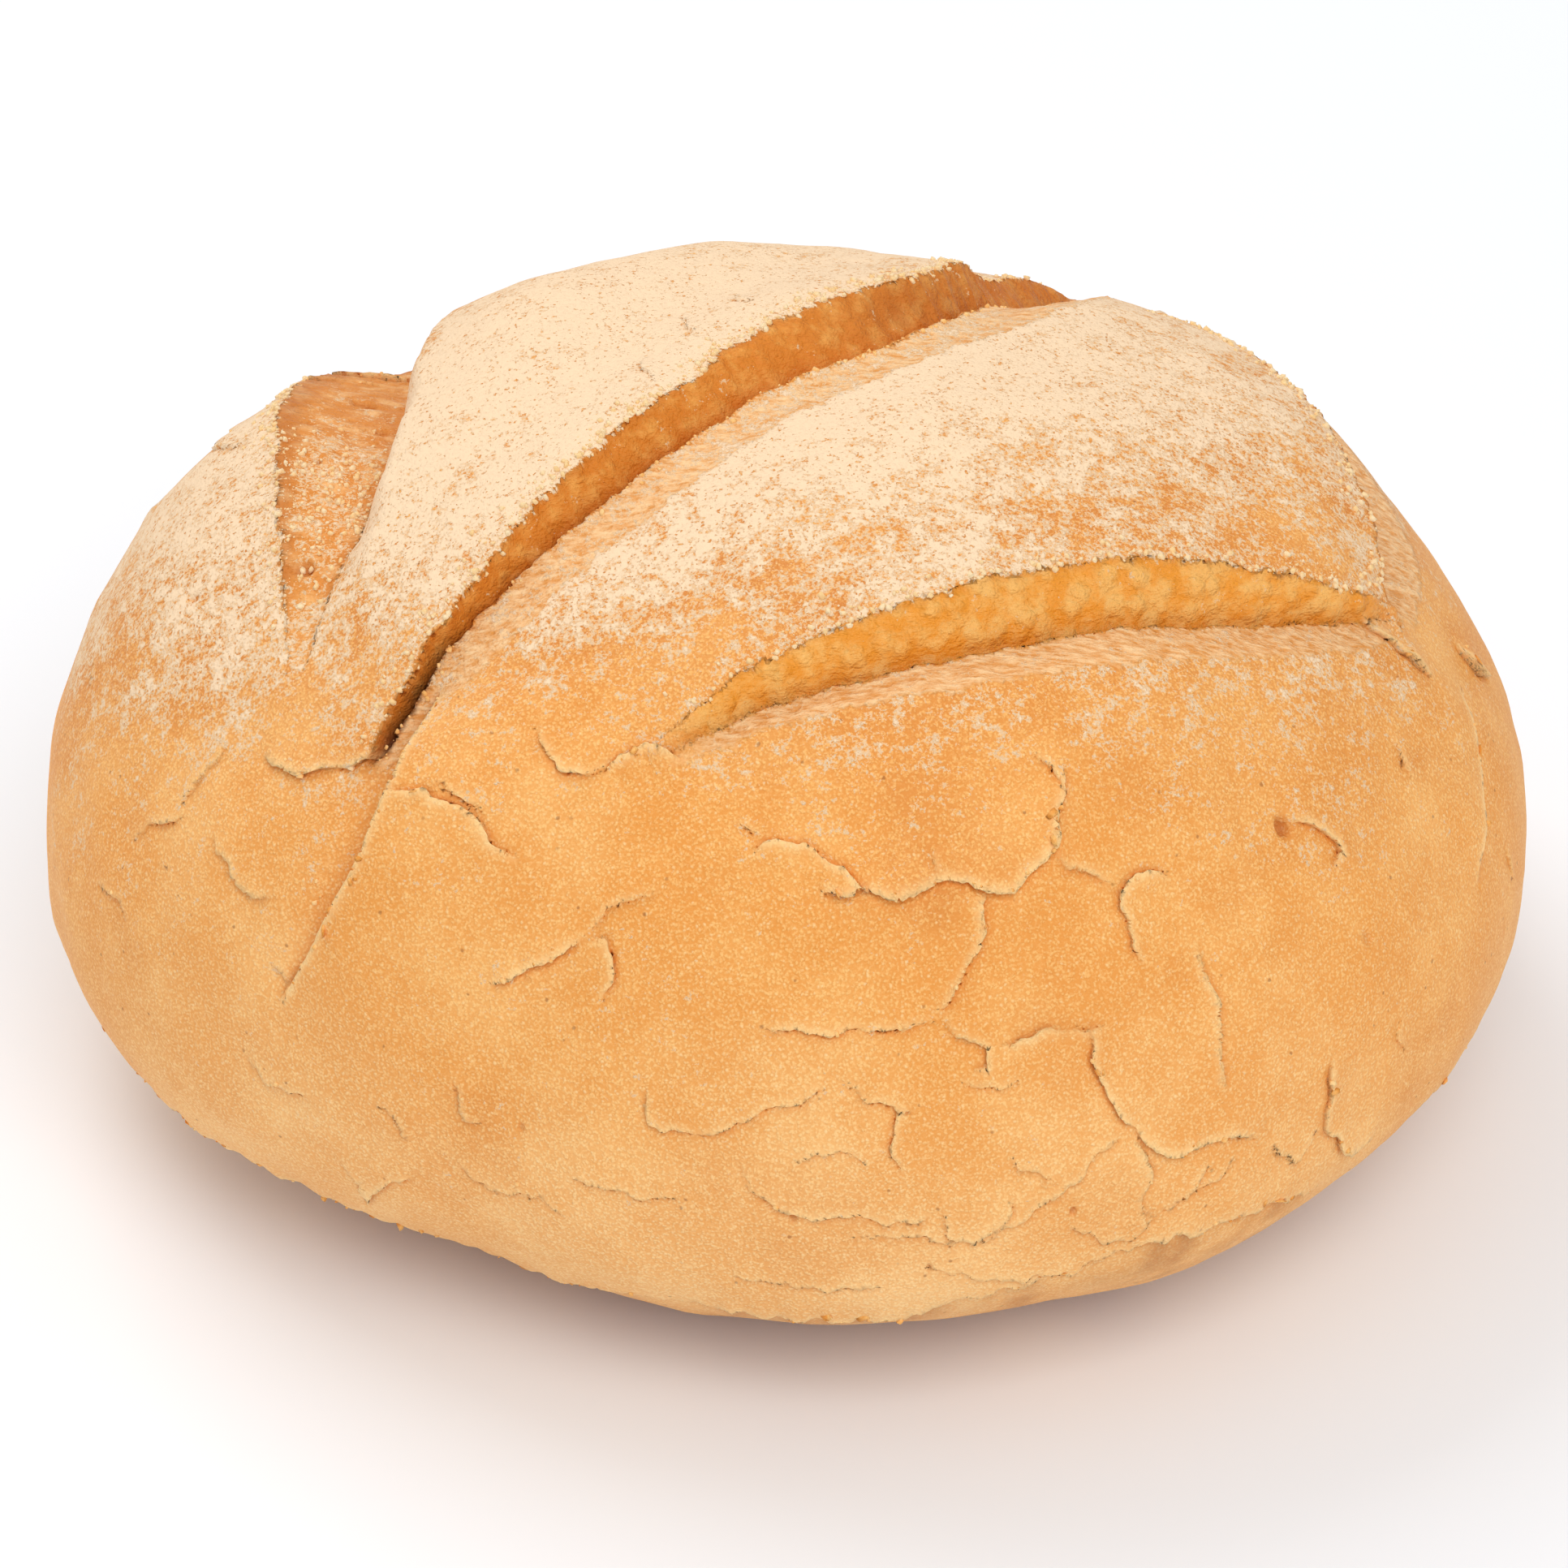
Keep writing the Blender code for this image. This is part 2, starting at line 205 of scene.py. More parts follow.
def beside_path(u, v, path, reach):
    """For the places within reach of the path's box: their numbers, their distance from the path,
    positive on its left, the path's columns at the nearest point, and the way straight to the left."""
    low = path[:, :2].min(axis=0) - reach
    high = path[:, :2].max(axis=0) + reach
    near = np.flatnonzero((u > low[0]) & (u < high[0]) & (v > low[1]) & (v < high[1]))
    long_side = int(high[1] - low[1] > high[0] - low[0])
    near = near[np.argsort((u, v)[long_side][near])]
    place = np.stack([u[near], v[near]], -1)
    nearest = np.full(len(place), np.inf)
    offset = np.zeros(len(place))
    columns = np.zeros((len(place), path.shape[1]))
    left = np.zeros((len(place), 2))
    sorted_side = place[:, long_side]
    for row, next_row in zip(path, path[1:]):
        ends = sorted((row[long_side], next_row[long_side]))
        part = slice(*np.searchsorted(sorted_side, (ends[0] - reach, ends[1] + reach)))
        way = next_row[:2] - row[:2]
        share = np.clip((place[part] - row[:2]) @ way / (way @ way), 0, 1)
        gap = place[part] - row[:2] - share[:, None] * way
        distance = np.hypot(gap[:, 0], gap[:, 1])
        closer = distance < nearest[part]
        side = np.where(way[0] * gap[:, 1] - way[1] * gap[:, 0] < 0, -1, 1)
        nearest[part][closer] = distance[closer]
        offset[part][closer] = (distance * side)[closer]
        columns[part][closer] = row + share[closer, None] * (next_row - row)
        left[part][closer] = np.array([-way[1], way[0]]) / np.hypot(way[0], way[1])
    within = nearest < reach
    return near[within], offset[within], columns[within], left[within]


# %% [markdown]
# ## Noise
#
# Torn dough is never straight. Smooth noise in space bends lips and edges, and because it is taken
# from the places themselves it gives the same loaf each time.


# %% Noise helpers
def noise_at(points, size, seed):
    """Smooth noise from about -1 to 1 in space, with lumps of about this size."""
    shift = Vector((seed * 17.3, seed * 5.1, seed * 9.7))
    return np.array([noise.noise(Vector(point) + shift) for point in points / size])


def wobble(along, size, seed):
    """Smooth noise from about -1 to 1 along a line, drawn in between steps of a tenth of its size."""
    steps = np.arange(0, along.max(initial=0) / size + 0.2, 0.1)
    values = [noise.noise(Vector((step, seed * 7.7, seed * 3.1))) for step in steps]
    return np.interp(along / size, steps, values)


# %% [markdown]
# ## Ridges and slashes
#
# Between the slashes the floured skin stands up in ridges. Each has a spine and a rise along it.

# %% Ridge stations: u, v and rise in millimetres
TALL_RIDGE = (
    (-72, -38, 0), (-58, -13, 3), (-46, 11, 5), (-36, 32, 6), (-14, 46, 3.6), (2, 54, 1.2), (14, 62, 0),
)
BROAD_RIDGE = ((-52, -62, 0), (-24, -46, 2.2), (8, -26, 3), (40, -8, 3), (68, 4, 2.4), (84, 12, 0))
LEFT_LOBE = ((-108, -26, 0), (-93, -8, 1.8), (-87, 14, 2.0), (-86, 32, 0.6), (-86, 46, 0))
FRONT_LOBE = ((0, -84, 0), (32, -72, 1.6), (64, -56, 1.8), (92, -44, 0))
RIDGES = ((TALL_RIDGE, 18 * MM), (BROAD_RIDGE, 19 * MM), (LEFT_LOBE, 14 * MM), (FRONT_LOBE, 14 * MM))

# %% [markdown]
# Along each slash the stations give the place of the crest or crease that shows, the width of the wall
# on its left and of the strip on its right, how deep the bottom lies, how high the lip stands, how far
# the lip leans over, and the height of the strip's inner edge. In the middle slash the strip is a level
# ledge with a torn crest, and a narrow groove hides behind it.

# %% Slash stations: u, v, wall, strip, depth, lip, lean and edge height in millimetres
LEFT_SLASH = (
    (-76, -40, 2.5, 2.5, 0.0, 0.0, 0, 0),
    (-71, -26, 6.5, 6.0, 2.2, 0.4, 0, -2.2),
    (-67, -11, 10.5, 5.6, 5.8, 0.6, 0, -5.8),
    (-64.5, 7, 13.5, 6.2, 8.0, 0.8, 0, -8.0),
    (-64, 26, 15.0, 6.6, 10.4, 0.8, 0, -10.4),
    (-60, 45, 19.0, 7.0, 11.6, 0.8, 0, -11.6),
    (-54, 62, 21.0, 7.0, 10.4, 0.6, 0, -10.4),
    (-48, 80, 15.0, 5.6, 6.0, 0.3, 0, -6.0),
    (-40, 98, 2.5, 2.5, 0.0, 0.0, 0, 0),
)
MIDDLE_SLASH = (
    (-67, -61, 2.0, 2.0, 0.0, 0.0, 0, 0),
    (-61, -54, 3.0, 4.0, 5.2, 1.6, 1.0, -0.2),
    (-53, -46, 3.4, 7.0, 5.6, 3.4, 2.2, -0.2),
    (-38, -33, 5.0, 8.0, 3.0, 4.2, 1.2, 0.1),
    (-25, -21.5, 6.4, 8.0, 2.4, 4.6, 0.9, 0.1),
    (-12, -8.5, 8.0, 8.2, 2.2, 4.6, 0.9, 0.1),
    (1, 3.5, 10.6, 8.0, 2.2, 4.4, 0.7, 0),
    (15, 14.5, 12.0, 7.4, 2.6, 3.6, 0.8, -0.2),
    (25, 27, 9.6, 8.5, 3.4, 3.2, 0.8, -0.5),
    (31, 39, 8.4, 11.0, 5.8, 2.4, 0.8, -2.4),
    (36, 53, 8.0, 13.0, 5.8, 1.6, 0.6, -3.6),
    (43, 70, 6.0, 10.0, 4.0, 0.8, 0.4, -2.6),
    (52, 86, 2.5, 2.5, 0.0, 0.0, 0, 0),
)
RIGHT_SLASH = (
    (-21, -71.5, 2.5, 2.5, 0.0, 0.0, 0, 0),
    (-8, -66, 4.2, 3.6, 2.6, 1.8, 0.1, -1.8),
    (12, -59.5, 6.6, 5.0, 3.5, 2.8, 0.1, -2.3),
    (32, -52, 8.4, 6.4, 3.8, 3.2, 0.1, -2.6),
    (52, -42, 8.2, 7.4, 3.7, 3.2, 0.1, -2.6),
    (70, -33, 6.6, 6.4, 3.4, 3.0, 0.2, -2.3),
    (84, -24, 3.8, 4.8, 2.4, 2.4, 0.4, -1.5),
    (93, -17, 2.5, 2.5, 0.0, 0.0, 0, 0),
)
FAR_SLASH = (
    (94, -17, 2.5, 2.5, 0.0, 0.0, 0, 0),
    (90, -5, 2.6, 9.0, 3.6, 2.4, 1.0, -3.0),
    (88, 10, 3.4, 11.0, 5.0, 2.8, 0.6, -4.0),
    (82, 29, 4.2, 12.0, 5.2, 2.8, 0.4, -4.2),
    (73, 46, 3.6, 9.0, 3.6, 1.8, 0.4, -3.0),
    (61, 61, 2.5, 2.5, 0.0, 0.0, 0, 0),
)

# How each slash's profile runs: share of the wall's width that the groove takes, powers of the wall and
# of the strip, bulge of the wall, and how far the lip's swelling reaches back over the ridge
SLASHES = (
    ("left", LEFT_SLASH, 0.02, 1.2, 1.5, 0.0, 16 * MM),
    ("middle", MIDDLE_SLASH, 0.24, 0.9, 1.0, 0.5 * MM, 14 * MM),
    ("right", RIGHT_SLASH, 0.10, 0.85, 1.2, 0.8 * MM, 14 * MM),
    ("far", FAR_SLASH, 0.10, 0.9, 1.3, 0.6 * MM, 14 * MM),
)

# %% [markdown]
# ## Folds and cracks
#
# Two larger folds are given on the skin map. The finer cracks at the front were read off the
# photograph, each as a few corners in pixels of its 1932 x 1932 frame, so the camera is needed first.
# Each corner is the picture of one place on the skin map, and the crack runs through those places.

# %% Camera of the photograph
FRAME_PIXELS = 1932
CAMERA_DISTANCE = 0.9
CAMERA_PITCH = math.radians(36)
AIM_HEIGHT = 50 * MM
BACK_TO_CAMERA = np.array([0, -math.cos(CAMERA_PITCH), math.sin(CAMERA_PITCH)])
CAMERA_STAND = BACK_TO_CAMERA * CAMERA_DISTANCE + np.array([0, 0, AIM_HEIGHT])
SENSOR = 36.0
# The loaf is this long in the photograph and in metres
LOAF_PIXELS = 1834
LOAF_LENGTH = 0.214
FOCAL_PIXELS = LOAF_PIXELS / LOAF_LENGTH * CAMERA_DISTANCE
AXIS_X = 981.5
AXIS_Y = 946.0
# Below this share of a straight look the skin is too slanted to read a place from
FACING_LEAST = 0.06
# The body's own box is this far off centre, and the finished loaf is moved back by it
BODY_SHIFT = np.array([1.345 * MM, 0.008 * MM, 0])


def photo_pixel(points):
    """Where points of the body show in the photograph's frame."""
    rise = np.array([0, math.sin(CAMERA_PITCH), math.cos(CAMERA_PITCH)])
    seen = points - BACK_TO_CAMERA * CAMERA_DISTANCE - np.array([0, 0, AIM_HEIGHT])
    depth = -seen @ BACK_TO_CAMERA
    across = AXIS_X + FOCAL_PIXELS * seen[:, 0] / depth
    down = AXIS_Y - FOCAL_PIXELS * (seen @ rise) / depth
    return np.stack([across, down], -1)


def ridge_height(u, v):
    """How far the ridges raise the skin at each place."""
    height = np.zeros(len(u))
    for stations, spread in RIDGES:
        near, offset, columns, _ = beside_path(u, v, smooth_path(stations), 3 * spread)
        height[near] += columns[:, 2] * bell(offset, spread)
    return height


def facing_camera(direction):
    """Whether the plain body turns its outer side to the camera in each direction."""
    towards = CAMERA_STAND - body_point(direction)
    towards /= np.linalg.norm(towards, axis=1, keepdims=True)
    return (towards * body_normal(direction)).sum(axis=1) > FACING_LEAST


def place_seen_at(pixels):
    """The places on the skin map that show at these pixels, found in a few steps of Newton's method."""
    pixels = np.array(pixels, float)

    def seen(place):
        direction = direction_at(place[:, 0], place[:, 1])
        height = ridge_height(place[:, 0], place[:, 1])
        return photo_pixel(body_point(direction) + body_normal(direction) * height[:, None])

    steps = np.arange(-150, 151, 6) * MM
    u, v = (side.ravel() for side in np.meshgrid(steps, np.arange(-150, 60, 6) * MM))
    tries = np.stack([u, v], -1)
    tries = tries[facing_camera(direction_at(u, v))]
    shown = seen(tries)
    away = np.hypot(*(shown[None] - pixels[:, None]).T).T
    place = tries[np.argmin(away, axis=1)]
    nudge = 0.5 * MM
    for _ in range(6):
        here = seen(place)
        across = (seen(place + [nudge, 0]) - here) / nudge
        along = (seen(place + [0, nudge]) - here) / nudge
        miss = pixels - here
        area = across[:, 0] * along[:, 1] - across[:, 1] * along[:, 0]
        step_u = (miss[:, 0] * along[:, 1] - miss[:, 1] * along[:, 0]) / area
        step_v = (across[:, 0] * miss[:, 1] - across[:, 1] * miss[:, 0]) / area
        place = place + np.clip(np.stack([step_u, step_v], -1), -5 * MM, 5 * MM)
    return place


# %% Fold stations: u, v and height in millimetres, then the reach of the raised and of the sunk side
FOLDS = (
    (((-56, -52, 0.0), (-58, -61, 5.4), (-65.5, -71, 5.8), (-77, -78, 4.0), (-93, -82, 0.0)), 22, 12),
    (((117, -46, 0.0), (115, -37.5, 1.2), (112, -29.7, 1.8), (109.6, -21.5, 1.6), (107, -15, 0.0)), 10, 9),
)

# %% Cracks of the front: height in millimetres, then corners in the photograph
FRONT_CRACKS = (
    (2.2, (1008, 1104), (1030, 1101), (1072, 1092), (1100, 1096), (1128, 1090), (1150, 1081), (1176, 1083),
     (1205, 1086), (1240, 1093), (1268, 1068), (1290, 1045), (1291, 1010), (1309, 975), (1312, 945)),
    (1.5, (1082, 1096), (1072, 1086), (1050, 1072), (1020, 1058), (998, 1047), (970, 1042),
     (942, 1036), (925, 1052)),
    (1.4, (1155, 1252), (1171, 1229), (1182, 1205), (1201, 1185), (1214, 1158), (1211, 1133),
     (1210, 1112), (1222, 1096)),
    (1.0, (1152, 1250), (1170, 1272), (1200, 1287), (1222, 1294), (1216, 1310), (1196, 1324)),
    (0.9, (940, 1268), (985, 1274), (1025, 1277), (1070, 1267), (1100, 1270), (1120, 1270),
     (1142, 1262), (1156, 1250)),
    (1.2, (1442, 1071), (1405, 1075), (1384, 1090), (1381, 1105), (1389, 1138), (1393, 1160), (1408, 1195)),
    (0.6, (1292, 1046), (1300, 1066), (1340, 1080), (1378, 1092)),
    (1.5, (1586, 1014), (1600, 1009), (1620, 1013), (1641, 1030), (1649, 1049), (1643, 1075)),
    (1.0, (1362, 1254), (1340, 1268), (1318, 1267), (1293, 1271), (1256, 1281), (1230, 1286)),
    (1.6, (1337, 1268), (1350, 1293), (1352, 1325), (1363, 1352), (1385, 1376), (1402, 1392)),
    (1.4, (1392, 1386), (1405, 1400), (1424, 1421), (1448, 1420), (1475, 1408), (1496, 1400),
     (1522, 1397), (1552, 1404)),
    (0.7, (1515, 1345), (1501, 1310), (1507, 1275), (1500, 1232), (1485, 1205), (1478, 1150)),
    (0.9, (1414, 1512), (1405, 1476), (1415, 1466), (1420, 1432), (1396, 1403)),
    (0.8, (1160, 1488), (1165, 1526), (1208, 1530), (1254, 1505), (1320, 1458), (1350, 1430), (1384, 1402)),
    (0.8, (1424, 1490), (1457, 1480), (1466, 1458), (1496, 1428)),
    (1.4, (1636, 1298), (1638, 1345), (1631, 1385), (1640, 1400), (1662, 1420), (1692, 1400)),
    (0.7, (845, 1402), (908, 1390), (950, 1366), (988, 1359), (1020, 1340)),
    (0.7, (1032, 1333), (1074, 1360), (1114, 1367), (1101, 1386), (1096, 1420), (1116, 1452)),
    (0.8, (912, 1428), (924, 1468), (972, 1494), (1006, 1504), (1050, 1498), (1098, 1512), (1152, 1498)),
    (0.8, (1152, 1036), (1150, 1056), (1152, 1080)),
    (1.2, (664, 900), (690, 944), (714, 962), (738, 957), (768, 938)),
    (1.8, (846, 936), (822, 926), (798, 927), (765, 939), (744, 956)),
    (1.1, (650, 1064), (627, 1046), (601, 1010), (565, 990), (516, 986), (472, 1002)),
    (1.0, (268, 1030), (273, 1052), (288, 1065), (291, 1088), (318, 1106), (345, 1109)),
    (1.4, (606, 1214), (630, 1206), (655, 1193), (680, 1173), (700, 1165), (728, 1156)),
    (1.1, (745, 1240), (755, 1205), (756, 1178), (744, 1161), (722, 1158)),
    (0.6, (725, 1157), (735, 1136), (772, 1110), (820, 1100)),
    (1.1, (556, 1330), (564, 1358), (572, 1385), (596, 1388)),
    (0.7, (460, 1356), (492, 1388), (508, 1411)),
    (0.8, (796, 1338), (791, 1370), (804, 1388), (860, 1394)),
    (0.8, (328, 1185), (350, 1200), (352, 1224)),
    (1.0, (222, 996), (248, 965), (270, 938), (289, 906)),
    (0.7, (160, 1036), (190, 1015), (232, 1009)),
    (0.8, (118, 812), (108, 850)),
    (0.7, (204, 1058), (212, 1082)),
    (0.8, (788, 452), (797, 474), (806, 505)),
    (0.8, (843, 400), (849, 422), (864, 440)),
    (0.7, (905, 368), (911, 388), (928, 402)),
    (0.7, (556, 980), (590, 996), (612, 1012)),
    (0.6, (900, 1012), (932, 1022), (938, 1036)),
    (0.6, (1262, 930), (1300, 950), (1308, 972), (1290, 1000)),
    (1.0, (418, 1428), (446, 1458), (452, 1482), (476, 1458), (508, 1452)),
    (1.6, (324, 934), (343, 943), (373, 951), (400, 952), (441, 942), (475, 928), (492, 906)),
    (2.4, (1676, 760), (1690, 768), (1705, 782), (1722, 800), (1740, 816), (1762, 840)),
    (3.0, (1794, 790), (1808, 808), (1821, 822), (1836, 838)),
    (0.8, (1706, 905), (1722, 925), (1733, 945), (1738, 965)),
    (0.8, (1850, 1040), (1855, 1065), (1860, 1092)),
    (0.7, (1722, 1240), (1716, 1275), (1728, 1300)),
    (0.7, (1180, 1330), (1222, 1346), (1262, 1340)),
    (0.6, (700, 1455), (748, 1462), (790, 1480), (838, 1476)),
    (0.6, (1240, 1420), (1262, 1446), (1300, 1452)),
    (0.6, (120, 1090), (150, 1105), (166, 1140)),
    (0.6, (1040, 1526), (1136, 1526), (1174, 1535), (1221, 1517), (1249, 1488), (1244, 1469)),
    (0.7, (1315, 1512), (1353, 1526), (1391, 1526), (1419, 1502), (1417, 1479)),
    (0.6, (1428, 1488), (1466, 1469), (1504, 1450), (1523, 1422)),
    (0.7, (1560, 1413), (1598, 1432), (1626, 1394)),
    (0.6, (900, 1573), (957, 1583), (1013, 1587), (1089, 1583)),
    (0.6, (1136, 1564), (1211, 1573), (1277, 1564), (1325, 1573)),
    (0.6, (560, 1440), (610, 1470), (668, 1478), (700, 1500)),
    (0.5, (300, 1300), (330, 1340), (382, 1352)),
    (0.5, (980, 1440), (1010, 1418), (1050, 1422), (1072, 1440)),
)
CRACK_STEP = 2.5 * MM

# Small pits: across and down in the photograph, then radius and depth in millimetres
FRONT_PITS = (
    (977, 1501, 0.9, 0.9), (1322, 1492, 0.8, 0.8), (1522, 1502, 0.9, 0.9), (1583, 1018, 1.5, 1.6),
    (1682, 1155, 1.1, 0.5), (640, 1392, 0.8, 0.5), (1145, 1560, 0.9, 0.7), (240, 738, 0.9, 0.7),
)
# The same in the slashes, on the skin map: u, v, radius and depth in millimetres
SLASH_PITS = (
    (-71, 35, 1.6, 1.5), (-74, 5, 0.7, 1.1), (-75, -21, 1.5, 1.3), (-76, 20, 0.9, 0.8), (-68, 22, 1.0, 0.8),
    (13.5, 22.5, 2.2, 0.9), (16.5, 25.5, 2.8, 1.3), (20, 29, 2.6, 1.1),
)


def crack_path(height, place):
    """A crack through these places: u, v and a height that fades at both ends."""
    steps = np.hypot(*np.diff(place, axis=0).T)
    along = np.concatenate([[0], np.cumsum(steps)])
    stops = np.linspace(0, along[-1], max(3, int(along[-1] / CRACK_STEP)))
    shares = np.minimum(stops, along[-1] - stops) / (4 * MM)
    rows = [np.interp(stops, along, place[:, 0]), np.interp(stops, along, place[:, 1])]
    return np.column_stack(rows + [height * MM * np.clip(shares, 0, 1) ** 0.7])


corner_places = place_seen_at([corner for _, *corners in FRONT_CRACKS for corner in corners])
ends = np.cumsum([len(crack) - 1 for crack in FRONT_CRACKS])
front_cracks = [
    crack_path(crack[0], place) for crack, place in zip(FRONT_CRACKS, np.split(corner_places, ends[:-1]))
]
print("front cracks:", len(front_cracks))

pit_places = np.vstack([place_seen_at([pit[:2] for pit in FRONT_PITS]), np.array(SLASH_PITS)[:, :2] * MM])
pit_sizes = np.array([pit[2:] for pit in FRONT_PITS + SLASH_PITS]) * MM

# %% [markdown]
# The sides and the back show in no photograph. Their crust cracked in the same way, so a seeded walk
# draws cracks there: each sets out in any direction and turns a little at every step.

# %% Cracks of the sides and back
SIDE_CRACK_COUNT = 92
WALK_STEP = 4.2 * MM
WALK_TURN = 0.55
SIDE_CRACK_AWAY = (92, 152)
SIDE_CRACK_HEIGHT = (0.5, 1.7)
# Walks that start within this angle of the front, or reach places with a lower v, are left out
FRONT_HALF_ANGLE = 114
SIDE_LIMIT = 6 * MM


def walked_crack(draw):
    """One crack at a random place of the sides or back, or None where the front's own cracks lie."""
    bearing = draw.uniform(-180, 180)
    away = draw.uniform(*SIDE_CRACK_AWAY) * MM
    count = draw.integers(4, 10)
    heading = draw.uniform(0, 2 * math.pi)
    height = draw.uniform(*SIDE_CRACK_HEIGHT) * MM
    turns = draw.normal(0, WALK_TURN, count)
    if abs(bearing + 90) < FRONT_HALF_ANGLE:
        return None
    place = away * np.array([math.cos(math.radians(bearing)), math.sin(math.radians(bearing))])
    rows = [place]
    for turn in turns:
        heading += turn
        place = place + WALK_STEP * np.array([math.cos(heading), math.sin(heading)])
        rows.append(place)
    if min(row[1] for row in rows) < SIDE_LIMIT:
        return None
    share = np.linspace(0, 1, len(rows))
    return np.column_stack([np.array(rows), height * np.sin(math.pi * share) ** 0.6])


draw = np.random.default_rng(41)
walked = [walked_crack(draw) for _ in range(SIDE_CRACK_COUNT)]
side_cracks = [crack for crack in walked if crack is not None]
print("side and back cracks:", len(side_cracks))

# %% [markdown]
# Low down, where the skin tucks under, it ends in a ragged edge of flakes that comes and goes round
# the loaf, and stands out most at the front.

# %% The tucked edge: u and v in millimetres
TUCK_AWAY = (
    (-143, -60), (-121, -107), (-78, -146), (-38, -155), (-16, -157), (3, -157.5), (22, -154),
    (40, -146.5), (56, -138.5), (70, -129), (83, -120.5), (97, -111), (117, -97), (138, -60),
    (150, -14), (150, 38), (124, 92), (72, 136), (10, 156), (-54, 146), (-108, 108), (-142, 52),
    (-149, -4),
)
TUCK_HEIGHT = 1.7 * MM
TUCK_AT_BACK = 0.6


def tuck_path():
    """The closed line of the tucked edge, with the upper skin on its left."""
    rows = np.array(TUCK_AWAY + TUCK_AWAY[:1], float)
    path = smooth_path(rows)
    along = np.linspace(0, 2 * math.pi, len(path))
    waves = np.sin(9 * along) * np.sin(4 * along + 1) + 0.8 * np.cos(along - 1.6)
    height = TUCK_HEIGHT * np.clip(0.35 + 0.6 * waves, 0, 1)
    height *= np.where(path[:, 1] > 0, TUCK_AT_BACK, 1.0)
    return np.column_stack([path, height])


tucked_edge = tuck_path()

# %% [markdown]
# ## The crust's mesh
#
# A sphere cut evenly fine would spend its triangles on plain crust. Instead the edges of a coarse
# sphere are split where slashes, folds and cracks need them, longest edge first, which keeps the
# triangles well shaped. Points beside a crest or crease then move onto it, so that it stays crisp.

# %% Every line with its profile
STEP_WALL = 0.55 * MM
FOLD_WALL = 1.4 * MM
# How far the raised and the sunk side of a step reach
CRACK_PROFILE = (6 * MM, 1.6 * MM)
TUCK_PROFILE = (10 * MM, 3 * MM)
# How far from a line its relief is worked out
SLASH_REACH = 40 * MM
CRACK_REACH = 9 * MM
TUCK_REACH = 14 * MM


class Line:
    """A slash or a step, with what its relief and its mesh need."""

    def __init__(self, kind, path, profile, wall, strip, reach):
        self.kind = kind
        self.path = with_length(path)
        self.profile = profile
        self.wall = wall
        self.strip = strip
        self.reach = reach


LINES = []
for kind, stations, *profile in SLASHES:
    LINES.append(Line(kind, smooth_path(stations), profile, None, None, SLASH_REACH))
for stations, raised, sunk in FOLDS:
    profile = (raised * MM, sunk * MM)
    LINES.append(Line("fold", smooth_path(stations), profile, FOLD_WALL, profile[1], raised * 1.5 * MM))
for path in front_cracks + side_cracks:
    LINES.append(Line("crack", path, CRACK_PROFILE, STEP_WALL, CRACK_PROFILE[1], CRACK_REACH))
LINES.append(Line("tuck", tucked_edge, TUCK_PROFILE, STEP_WALL, TUCK_PROFILE[1], TUCK_REACH))
print("lines:", len(LINES))

# %% Ragged edges along a line
RAGGED = {"left": 0.6, "middle": 1.0, "right": 0.6, "far": 0.6, "fold": 0.4, "crack": 0.9, "tuck": 1.2}


def ragged_offset(line, offset, along):
    """The distances with the line's own waver taken off, as if the line itself were torn."""
    seed = line.path[0, 0] / MM
    coarse = wobble(along, 3.4 * MM, seed)
    fine = wobble(along, 1.1 * MM, seed + 5)
    return offset - RAGGED[line.kind] * MM * (coarse + 0.45 * fine)


def line_widths(line, columns):
    """Width of the wall and of the strip at each place, with a torn lip's waver."""
    if line.wall is not None:
        return np.full(len(columns), line.wall), np.full(len(columns), line.strip)
    along = columns[:, -1]
    seed = line.path[0, 1] / MM
    waver = 0.75 * wobble(along, 4.5 * MM, seed) + 0.4 * wobble(along, 1.4 * MM, seed + 3)
    wall = np.maximum(columns[:, 2], MM) + RAGGED[line.kind] * MM * waver
    strip = np.maximum(columns[:, 3], MM) + 0.8 * MM * wobble(along, 6 * MM, seed + 8)
    return np.maximum(wall, 0.5 * MM), np.maximum(strip, MM)


def line_size(line, columns):
    """How large the line's step is at each place. Folds and cracks come and go along their way."""
    if line.wall is None:
        return columns[:, 4] + columns[:, 5]
    if line.kind == "fold":
        return np.maximum(columns[:, 2], 0)
    seed = line.path[-1, 0] / MM
    return np.maximum(columns[:, 2] * (0.8 + 0.75 * wobble(columns[:, -1], 5 * MM, seed)), 0)


# %% Edge lengths and the splitting of the sphere
PLAIN_EDGE = 3.0 * MM
FOOT_EDGE = 6.0 * MM
FOOT_AWAY = 168 * MM
SLASH_EDGE = 1.2 * MM
CREST_EDGE = 0.76 * MM
CREST_BAND = 0.75 * MM
SMALLEST_STEP = 0.1 * MM
MAP_HALF = math.pi * SKIN_PER_RADIAN + MM
MAP_CELL = 0.5 * MM


